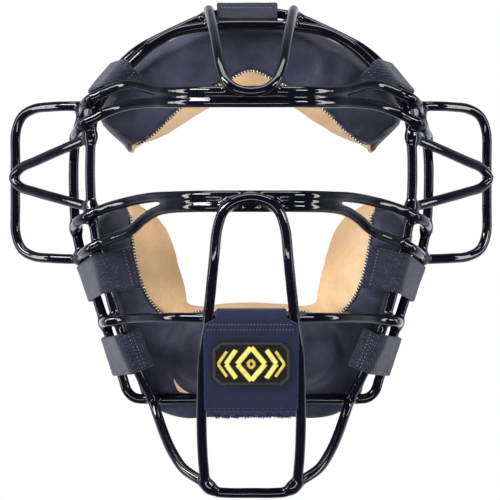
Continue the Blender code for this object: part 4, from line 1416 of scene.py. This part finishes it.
def build_side_tab(kind, side, finishes):
    """One side tab: webbing round both wires, its pair of patches and its rows of stitches."""
    webbing, hook, pile, thread, pale_thread = finishes
    name = kind + ("_right" if side > 0 else "_left")
    tab = SIDE_TABS[kind]
    flip = np.array((side, 1, 1))
    hinge, along, inward, forward = (vector * flip for vector in side_frame(kind))
    body = name + "_flap"
    line, shape = side_tab_shape(kind, side)
    length = lengths_of(line)[-1]
    half = np.array([(0, tab["width"] / 2), (length, (tab["flap"][1] - tab["flap"][0]) / 2)])
    tip = -tab["reach"] - 3
    whole = name + "_tab_webbing"
    piece = strip(whole, line, half, along, WEBBING_THICKNESS, webbing, 1.1, 0.13, 3, shape, tip)
    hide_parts(name + "_tab_base", name + "_tab_flap")
    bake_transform(piece)

    def over(reach, place, height):
        """A point from its reach inward, its place between the flap's ends and its height over the face."""
        low = tab["flap"][1] - tab["slant"] * reach / tab["reach"]
        down = tab["flap"][0] + 0.9 + (low - tab["flap"][0] - 1.8) * place
        return hinge + along * down + inward * reach + forward * (height - FLAP_DROP * reach / tab["reach"])

    def corners_at(height):
        far = tab["reach"] - 1.5
        places = ((4.0, 0.03), (4.0, 0.97), (far, 0.97), (far, 0.03))
        return [over(reach, place, height) for reach, place in places]

    patch_pair(name, corners_at, hook, pile, 5, body)
    rows = [("edge", tab["reach"] - 1.7, thread, 1.7, 0.8)]
    rows.append(("inner", tab["reach"] - 4.6, pale_thread, 0.8, 1.1))
    if kind == "jaw":
        rows.append(("fold", 3.2, pale_thread, 0.8, 1.3))
    for label, reach, finish, long, gap in rows:
        ends = [over(reach, 0.0, 0.05), over(reach, 1.0, 0.05)]
        stitches = running_stitches(f"{name}_{label}_stitches", ends, forward, long, gap, 0.2, finish)
        fitted(stitches, "webbing", body)


def flat_line(points):
    """A middle line from its flat places, (Y, Z)."""
    points = np.asarray(points, float)
    return np.stack([points[:, 0] * 0, points[:, 0], points[:, 1]], 1)


def build_top_tab(finishes):
    """The tab over the top of the rear wire, with its patches and stitches."""
    webbing, hook, pile, thread, pale_thread = finishes
    wire = np.array(REAR_LOOP[0][1:], float)
    outward = np.array((math.cos(TOP_TAB_LEAN), math.sin(TOP_TAB_LEAN)))
    along = np.array((-outward[1], outward[0]))
    hinge = wire + outward * HINGE_RADIUS
    start = np.array((wire[0] + TAB_RADIUS, FOREHEAD_PAD[0][0][1] + 0.3))
    turn = arc(wire, TAB_RADIUS, 0, math.degrees(TOP_TAB_LEAN), 18)
    middle = hinge - outward * WEBBING_THICKNESS / 2
    flap = [middle + along * reach for reach in np.linspace(1, TOP_TAB_REACH, 8)]
    line = flat_line(np.vstack([[start], turn, flap]))
    line = resampled(line + (TOP_TAB_MIDDLE, 0, 0), 0.6)
    length = lengths_of(line)[-1]
    half = np.array([(0, TOP_TAB_HALF_WIDTH), (length, TOP_TAB_HALF_WIDTH - 0.4)])
    across = (1, 0, 0)
    piece = strip("top_tab_webbing", line, half, across, WEBBING_THICKNESS, webbing, 1.1, 0.16, 4, tip=NO_TIP)
    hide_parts("top_tab_base", "top_tab_flap")
    place, way = (np.array((0, *pair)) for pair in (hinge, along))
    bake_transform(piece)
    up = np.array((0, *outward))

    def at(reach, x, height):
        return place + way * reach + up * height + np.array((TOP_TAB_MIDDLE + x, 0, 0))

    def corners_at(height):
        wide = TOP_TAB_HALF_WIDTH - 1.2
        far = TOP_TAB_REACH - 5
        return [at(3.5, -wide, height), at(3.5, wide, height), at(far, wide, height), at(far, -wide, height)]

    patch_pair("top", corners_at, hook, pile, 7, "top_flap")
    for label, reach, finish in (("edge", TOP_TAB_REACH - 1.8, thread), ("inner", 6.0, pale_thread)):
        ends = [at(reach, 1.2 - TOP_TAB_HALF_WIDTH, 0.05), at(reach, TOP_TAB_HALF_WIDTH - 1.2, 0.05)]
        stitches = running_stitches(f"top_{label}_stitches", ends, up, 1.5, 0.8, 0.19, finish)
        fitted(stitches, "webbing", "top_flap")


def fibres(name, roots, directions, up, lengths, radii, material):
    """Short curved three-sided fibres that taper to a point."""
    points = []
    faces = []
    for root, way, length, radius in zip(roots, directions, lengths, radii):
        side = unit(np.cross(way, up))
        bend = RNG.normal(0, 0.35)
        first = len(points)
        for part, size in ((0, 1.0), (0.4, 0.9), (0.75, 0.6)):
            centre = root + way * length * part + (up * 0.3 + side * bend) * length * part * part
            for turn in (0, 2.094, 4.189):
                points.append(centre + (side * math.cos(turn) + up * math.sin(turn)) * radius * size)
        points.append(root + way * length + (up * 0.3 + side * bend) * length)
        faces += ring_faces(first, 3, 3)
        for turn in range(3):
            faces.append((first + 6 + turn, first + 6 + (turn + 1) % 3, first + 9))
    return new_object(name, points, faces, material)


def build_fringe(at, way, up, reach, height, material):
    """Loose fibres at the lower edge of the chin's loop patch."""
    x = RNG.uniform(-21.2, 21.2, FRINGE_FIBRES)
    roots = [at(reach - RNG.uniform(-0.1, 2.6), value, height + RNG.uniform(-0.7, 0.75)) for value in x]
    tufts = 0.9 + 0.5 * line_noise(x, 2.6, 8)
    ways = unit(way + np.stack([RNG.normal(0, most, len(x)) for most in (0.35, 0.3, 0.1)], 1))
    lengths = RNG.uniform(0.9, 2.1, len(x)) * tufts
    radii = RNG.uniform(0.13, 0.24, len(x))
    fitted(fibres("chin_pile_fringe", roots, ways, up, lengths, radii, material), "pile", "mask")


def build_nap(at, way, up, length, half_width, material):
    """Short frayed fibres down both sides and along the lower edge of the chin flap."""
    roots = []
    ways = []
    for side in (-1, 1):
        for far in np.arange(3.0, length - 0.5, 0.11):
            edge = half_width(far) - 0.35
            roots.append(at(far, side * edge, -WEBBING_THICKNESS / 2 + RNG.uniform(-0.75, 0.6)))
            ways.append(unit(np.array((side, 0, 0)) + way * RNG.normal(0.2, 0.5) + up * RNG.normal(0, 0.3)))
    for x in np.arange(-CHIN_FLAP_HALF_WIDTH + 1.2, CHIN_FLAP_HALF_WIDTH - 1.2, 0.1):
        roots.append(at(length - 0.4, x, -WEBBING_THICKNESS / 2 + RNG.uniform(-0.7, 0.6)))
        ways.append(unit(way + np.array((RNG.normal(0, 0.4), 0, 0)) + up * RNG.normal(0, 0.25)))
    lengths = RNG.uniform(0.5, 1.2, len(roots))
    radii = RNG.uniform(0.09, 0.15, len(roots))
    fitted(fibres("chin_edge_nap", roots, ways, up, lengths, radii, material), "webbing", "chin_flap")


def build_chin_tab(finishes, emblem_finishes, pile_fibre):
    """The tab from the chin pad over the jaw bar and down the nose ring, with patches, fibres and badge."""
    webbing, hook, pile, thread, pale_thread = finishes
    upper, lower = (np.array(NOSE_RING[index][1:], float) for index in (7, 8))
    along = unit(lower - upper)
    outward = np.array((along[1], -along[0]))
    leg = upper + along * ((CHIN_FLAP_TOP - upper[1]) / along[1])
    hinge = leg + outward * HINGE_RADIUS
    bar = np.array(JAW_BAR[0][1:], float)
    root = np.array(CHIN_TAB_ROOT)
    reach = root - bar
    leave = math.degrees(math.atan2(reach[1], reach[0]) + math.acos(TAB_RADIUS / np.linalg.norm(reach)))
    over = leg - bar
    cross = math.degrees(math.atan2(over[1], over[0])) % 360 - 90
    fold = math.degrees(math.atan2(outward[1], outward[0])) % 360
    length = (CHIN_FLAP_BOTTOM - CHIN_FLAP_TOP) / along[1]
    middle = hinge - outward * WEBBING_THICKNESS / 2
    turns = [arc(bar, TAB_RADIUS, leave, cross, 12), arc(leg, TAB_RADIUS, cross, fold, 12)]
    falls = np.linspace(1, length, 24)
    hang = [middle + along * far - outward * 0.35 * math.sin(far / length * math.pi) for far in falls]
    line = resampled(flat_line(np.vstack([[root], *turns, hang])), 0.6)
    total = lengths_of(line)[-1]
    at_fold = total - length
    half = np.array(
        [
            (0, CHIN_NECK_HALF_WIDTH),
            (at_fold - 6.0, CHIN_NECK_HALF_WIDTH + 0.9),
            (at_fold - 1.7, CHIN_NECK_HALF_WIDTH + 1.3),
            (at_fold + 1.2, CHIN_FLAP_HALF_WIDTH - 0.9),
            (at_fold + 2.4, CHIN_FLAP_HALF_WIDTH),
            (total - 3, CHIN_FLAP_HALF_WIDTH - 0.2),
            (total, CHIN_FLAP_HALF_WIDTH - 1.1),
        ]
    )
    across = (1, 0, 0)
    piece = strip("chin_tab_webbing", line, half, across, WEBBING_THICKNESS, webbing, 1.0, 0.2, 6, tip=NO_TIP)
    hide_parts("chin_tab_base", "chin_tab_flap")
    place, way, up = (np.array((0, *pair)) for pair in (hinge, along, outward))
    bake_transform(piece)
    area = ((half[1:, 1] + half[:-1, 1]) * np.diff(half[:, 0])).sum()

    def at(reach, x, height):
        return place + way * reach + up * height + np.array((x, 0, 0))

    back = -WEBBING_THICKNESS - 0.25
    deep = back - PATCH_THICKNESS / 2
    corners = [at(12, -16, deep), at(12, 16, deep), at(length - 4, 16, deep), at(length - 4, -16, deep)]
    patch("chin_hook", corners, PATCH_THICKNESS, hook, 9, "chin_flap", "hook")
    pile_reach = (CHIN_PILE_BOTTOM - CHIN_FLAP_TOP) / along[1] - 0.6
    deep = back - PATCH_THICKNESS - (CHIN_PILE_THICKNESS / 2 + PATCH_GAP)
    corners = [at(5, -19.4, deep), at(5, 19.4, deep), at(pile_reach, CHIN_PILE_HALF_WIDTH, deep)]
    corners.append(at(pile_reach, -CHIN_PILE_HALF_WIDTH, deep))
    patch("chin_loop", corners, CHIN_PILE_THICKNESS, pile, 10, "mask", "pile")
    build_fringe(at, way, up, pile_reach, deep, pile_fibre)

    def half_width(far):
        return np.interp(at_fold + far, half[:, 0], half[:, 1])

    build_nap(at, way, up, length, half_width, pile_fibre)
    rows = [
        ("upper", 1.4, 22.6, 0.9, 0.8, pale_thread),
        ("middle", 4.4, 23.6, 0.9, 0.8, pale_thread),
        ("lower", length - 2.2, 23.0, 1.6, 0.9, thread),
    ]
    for label, far, reach_x, long, gap, finish in rows:
        ends = [at(far, -reach_x, 0.08), at(far, reach_x, 0.08)]
        stitches = running_stitches(f"chin_{label}_stitches", ends, up, long, gap, 0.19, finish)
        fitted(stitches, "webbing", "chin_flap")
    build_emblem(at, up, length * EMBLEM_PLACE, emblem_finishes)


def build_emblem(at, up, middle, finishes):
    """A plain felt badge with a stitched border, a diamond and two pairs of chevrons."""
    felt, gold, gold_deep, dark = finishes
    width, height = EMBLEM_SIZE
    corner = 4.0
    side, top = width / 2, height / 2
    outline = [(corner - side, -top), (side - corner, -top), (side, corner - top), (side, top - corner)]
    outline += [(side - corner, top), (corner - side, top), (-side, top - corner), (-side, corner - top)]
    outline = np.array(outline)
    round_ = spline(outline, True, 6) * 0.35 + resampled_ring(outline, 48) * 0.65
    rings = []
    for size, lift in ((1.0, 0.0), (1.0, 0.45), (0.985, 0.8), (0.955, 0.95), (0.7, 0.98), (0.35, 1.0)):
        rings.append([at(middle + v * (1 - (1 - size) * 1.6), u * size, 0.12 + lift) for u, v in round_])
    count = len(round_)
    points = [point for ring in rings for point in ring]
    points += [at(middle, 0, 1.12), at(middle, 0, 0.12)]
    faces = ring_faces(0, len(rings), count)
    last = (len(rings) - 1) * count
    for turn in range(count):
        after = (turn + 1) % count
        faces.append((last + turn, last + after, len(points) - 2))
        faces.append((after, turn, len(points) - 1))
    base = new_object("chin_badge_felt", points, faces, felt)
    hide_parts("chin_emblem")
    fitted(base, "emblem", "chin_flap")

    def satin(name, lines, width, pitch, radius, material, lift=1.25):
        """Satin stitch: close threads laid across each line."""
        ends = []
        ups = []
        for line in lines:
            fine = resampled(np.array(line, float), pitch)
            for place, before, after in zip(fine[1:-1], fine, fine[2:]):
                across = unit(np.array((-(after - before)[1], (after - before)[0])))
                across = across + unit(after - before) * 0.18
                long = width / 2 + RNG.normal(0, 0.05)
                pair = (place - across * long, place + across * long)
                ends.append([at(middle + v, u, lift) for u, v in pair])
                ups.append(up)
        piece = capsules(name, ends, ups, radius, material, 5, 0.22)
        fitted(piece, "emblem", "chin_flap")

    border = resampled_ring(outline * (0.93, 0.89), 96)
    satin("chin_badge_border", [np.vstack([border, border[:1]])], 1.5, 0.34, 0.2, dark, 1.0)
    diamond = [(0, -9.6), (7.4, 0), (0, 9.6), (-7.4, 0), (0, -9.6)]
    satin("chin_badge_diamond", [diamond[index : index + 2] for index in range(4)], 2.9, 0.33, 0.22, gold)
    core = [(0, -2.6), (2.0, 0), (0, 2.6), (-2.0, 0), (0, -2.6)]
    satin("chin_badge_core", [core[index : index + 2] for index in range(4)], 1.7, 0.33, 0.21, gold_deep)
    chevrons = []
    bars = []
    for side in (-1, 1):
        chevrons += [[(side * 8.0, -8.2), (side * 13.4, 0)], [(side * 13.4, 0), (side * 8.0, 8.2)]]
        bars += [[(side * 12.8, -7.4), (side * 17.6, 0)], [(side * 17.6, 0), (side * 12.8, 7.4)]]
    satin("chin_badge_chevrons", chevrons, 2.7, 0.33, 0.22, gold)
    satin("chin_badge_outer_chevrons", bars, 1.7, 0.33, 0.21, gold_deep)


def resampled_ring(outline, count):
    """A closed outline with a number of points, evenly spaced."""
    return evenly(np.vstack([outline, outline[:1]]), count + 1)[:-1]


# --- stage ---

FLOOR_SIDES = 96
FLOOR_RADIUS = 3000
FLOOR_HEIGHT = -520.0
LIGHTS_AIM = Vector((0, -0.03, 0))
# The camera's place in metres, and half of its view's width at a unit's distance.
CAMERA_PLACE = (-0.00065, -1.65, 0)
CAMERA_SLOPE = 135 / 1600

# Soft boxes: place and size in metres, and power in watts.
SOFT_BOXES = {
    "key": ((-1.35, -1.0, 1.1), (1.3, 0.4), 44),
    "fill": ((1.4, -1.3, 0.55), (0.8, 0.4), 17),
    "top": ((0.0, -0.2, 1.5), (1.6, 0.7), 18),
    "side_left": ((-1.5, -0.2, 0.1), (0.2, 1.5), 9),
    "side_right": ((1.5, -0.2, 0.1), (0.2, 1.5), 8),
    "low": ((-0.15, -1.0, -0.48), (1.3, 0.12), 4.5),
}


def smooth_range(tree, source, start, end, low, high):
    """The source's range from start to end, eased over low to high."""
    made = tree.nodes.new("ShaderNodeMapRange")
    made.interpolation_type = "SMOOTHSTEP"
    for name, value in (("From Min", start), ("From Max", end), ("To Min", low), ("To Max", high)):
        made.inputs[name].default_value = value
    tree.links.new(source, made.inputs["Value"])
    return made.outputs["Result"]


def build_world():
    """Surroundings that are bright behind the mask and dim in front of it, so that the dip keeps dark faces.

    The camera sees plain white instead.
    """
    world = bpy.data.worlds.new("studio")
    world.use_nodes = True
    tree = world.node_tree
    back = tree.nodes["Background"]
    place = tree.nodes.new("ShaderNodeTexCoord")
    parts = tree.nodes.new("ShaderNodeSeparateXYZ")
    tree.links.new(place.outputs["Generated"], parts.inputs["Vector"])
    glow = tree.nodes.new("ShaderNodeMath")
    glow.operation = "MULTIPLY"
    tree.links.new(smooth_range(tree, parts.outputs["Y"], -0.1, 0.75, 0.07, 0.95), glow.inputs[0])
    tree.links.new(smooth_range(tree, parts.outputs["Z"], 0.2, 0.62, 1.0, 0.3), glow.inputs[1])
    path = tree.nodes.new("ShaderNodeLightPath")
    lift = tree.nodes.new("ShaderNodeMath")
    lift.operation = "MAXIMUM"
    tree.links.new(glow.outputs["Value"], lift.inputs[0])
    tree.links.new(path.outputs["Is Camera Ray"], lift.inputs[1])
    tint = tree.nodes.new("ShaderNodeMix")
    tint.data_type = "RGBA"
    tint.inputs[6].default_value = (0.86, 0.87, 1.0, 1)
    tint.inputs[7].default_value = (1.0, 1.0, 1.0, 1)
    tree.links.new(path.outputs["Is Camera Ray"], tint.inputs["Factor"])
    tree.links.new(tint.outputs[2], back.inputs["Color"])
    tree.links.new(lift.outputs["Value"], back.inputs["Strength"])
    bpy.context.scene.world = world


def build_stage():
    """A wide pale floor well below the mask, soft boxes and the camera."""
    maker = Maker("floor_paper")
    tone = maker.noise(maker.places(0.004), 1.0, 2.0)
    colour = maker.mix(maker.spread(tone, 0, 1, 0.3, 0.7), (0.13, 0.13, 0.13), (0.16, 0.16, 0.16))
    maker.set(Base_Color=colour, Roughness=0.9)
    maker.set(Emission_Color=(1, 1, 1, 1), Emission_Strength=0.84)
    turns = np.linspace(0, 2 * math.pi, FLOOR_SIDES + 1)[:-1]
    rim = [(FLOOR_RADIUS * math.cos(turn), FLOOR_RADIUS * math.sin(turn), FLOOR_HEIGHT) for turn in turns]
    floor = new_object("floor", rim, [tuple(range(FLOOR_SIDES))], maker.material, smooth=False)
    floor.visible_glossy = False
    build_world()
    for name, (place, size, power) in SOFT_BOXES.items():
        light = bpy.data.lights.new(name, "AREA")
        light.shape = "RECTANGLE"
        light.size, light.size_y = size
        light.energy = power
        obj = linked(name, light)
        obj.location = place
        obj.rotation_euler = (LIGHTS_AIM - Vector(place)).to_track_quat("-Z", "Y").to_euler()
    camera = bpy.data.cameras.new("camera")
    camera.angle = 2 * math.atan(CAMERA_SLOPE)
    camera.clip_start = 0.01
    obj = linked("camera", camera)
    obj.location = CAMERA_PLACE
    obj.rotation_euler = (math.pi / 2, 0, 0)
    bpy.context.scene.camera = obj
    bpy.context.scene.view_settings.view_transform = "Standard"


def main():
    dip = dip_material()
    field = build_cage(dip)
    vinyl = vinyl_material()
    leather = leather_material()
    foam = foam_material()
    cream = thread_material("seam_thread", (0.9, 0.8, 0.58), (0.98, 0.93, 0.8), 0.5)
    seam = thread_material("seam_cord", (0.012, 0.012, 0.02), (0.03, 0.03, 0.045), 0.6)
    binding = thread_material("edge_binding", (0.55, 0.47, 0.5), (0.74, 0.68, 0.72), 0.45)
    pads = (vinyl, leather, foam, cream, seam, binding)
    build_pad("forehead_pad", FOREHEAD_PAD, 4, field, pads, FOREHEAD_CREASES)
    build_tongue(build_pad("chin_pad", CHIN_PAD, 5, field, pads, CHIN_CREASES), leather)
    tones = ((0.006, 0.0068, 0.02), (0.026, 0.027, 0.058), (0.07, 0.071, 0.12))
    webbing = webbing_material("tab_webbing", *tones)
    tones = ((0.0035, 0.0048, 0.025), (0.011, 0.0148, 0.061), (0.036, 0.046, 0.14))
    chin_webbing = webbing_material("chin_webbing", *tones)
    tones = ((0.0025, 0.003, 0.011), (0.01, 0.011, 0.032), (0.04, 0.042, 0.085))
    top_webbing = webbing_material("top_webbing", *tones, 0.12)
    hook = fuzzy_material("hook_tape", (0.01, 0.01, 0.015), (0.05, 0.05, 0.07), 2.2)
    pile = fuzzy_material("loop_pile", (0.008, 0.014, 0.06), (0.03, 0.05, 0.17), 1.4)
    fibre = fuzzy_material("pile_fibre", (0.006, 0.012, 0.06), (0.02, 0.035, 0.15), 1.2, 0.08)
    thread = thread_material("navy_thread", (0.012, 0.013, 0.03), (0.035, 0.037, 0.075), 0.45)
    pale = thread_material("pale_thread", (0.09, 0.1, 0.17), (0.22, 0.24, 0.36), 0.45)
    finishes = (webbing, hook, pile, thread, pale)
    for kind in SIDE_TABS:
        for side in (1, -1):
            build_side_tab(kind, side, finishes)
    build_top_tab((top_webbing, *finishes[1:]))
    felt = fuzzy_material("badge_felt", (0.002, 0.002, 0.002), (0.008, 0.008, 0.008), 2.4, 0.06)
    gold = thread_material("gold_thread", (0.7, 0.6, 0.085), (0.88, 0.82, 0.22), 0.36)
    gold_deep = thread_material("deep_gold_thread", (0.55, 0.4, 0.035), (0.78, 0.62, 0.08), 0.32)
    dark = thread_material("black_thread", (0.006, 0.006, 0.007), (0.02, 0.02, 0.024), 0.4)
    build_chin_tab((chin_webbing, hook, pile, thread, pale), (felt, gold, gold_deep, dark), fibre)
    build_stage()


main()
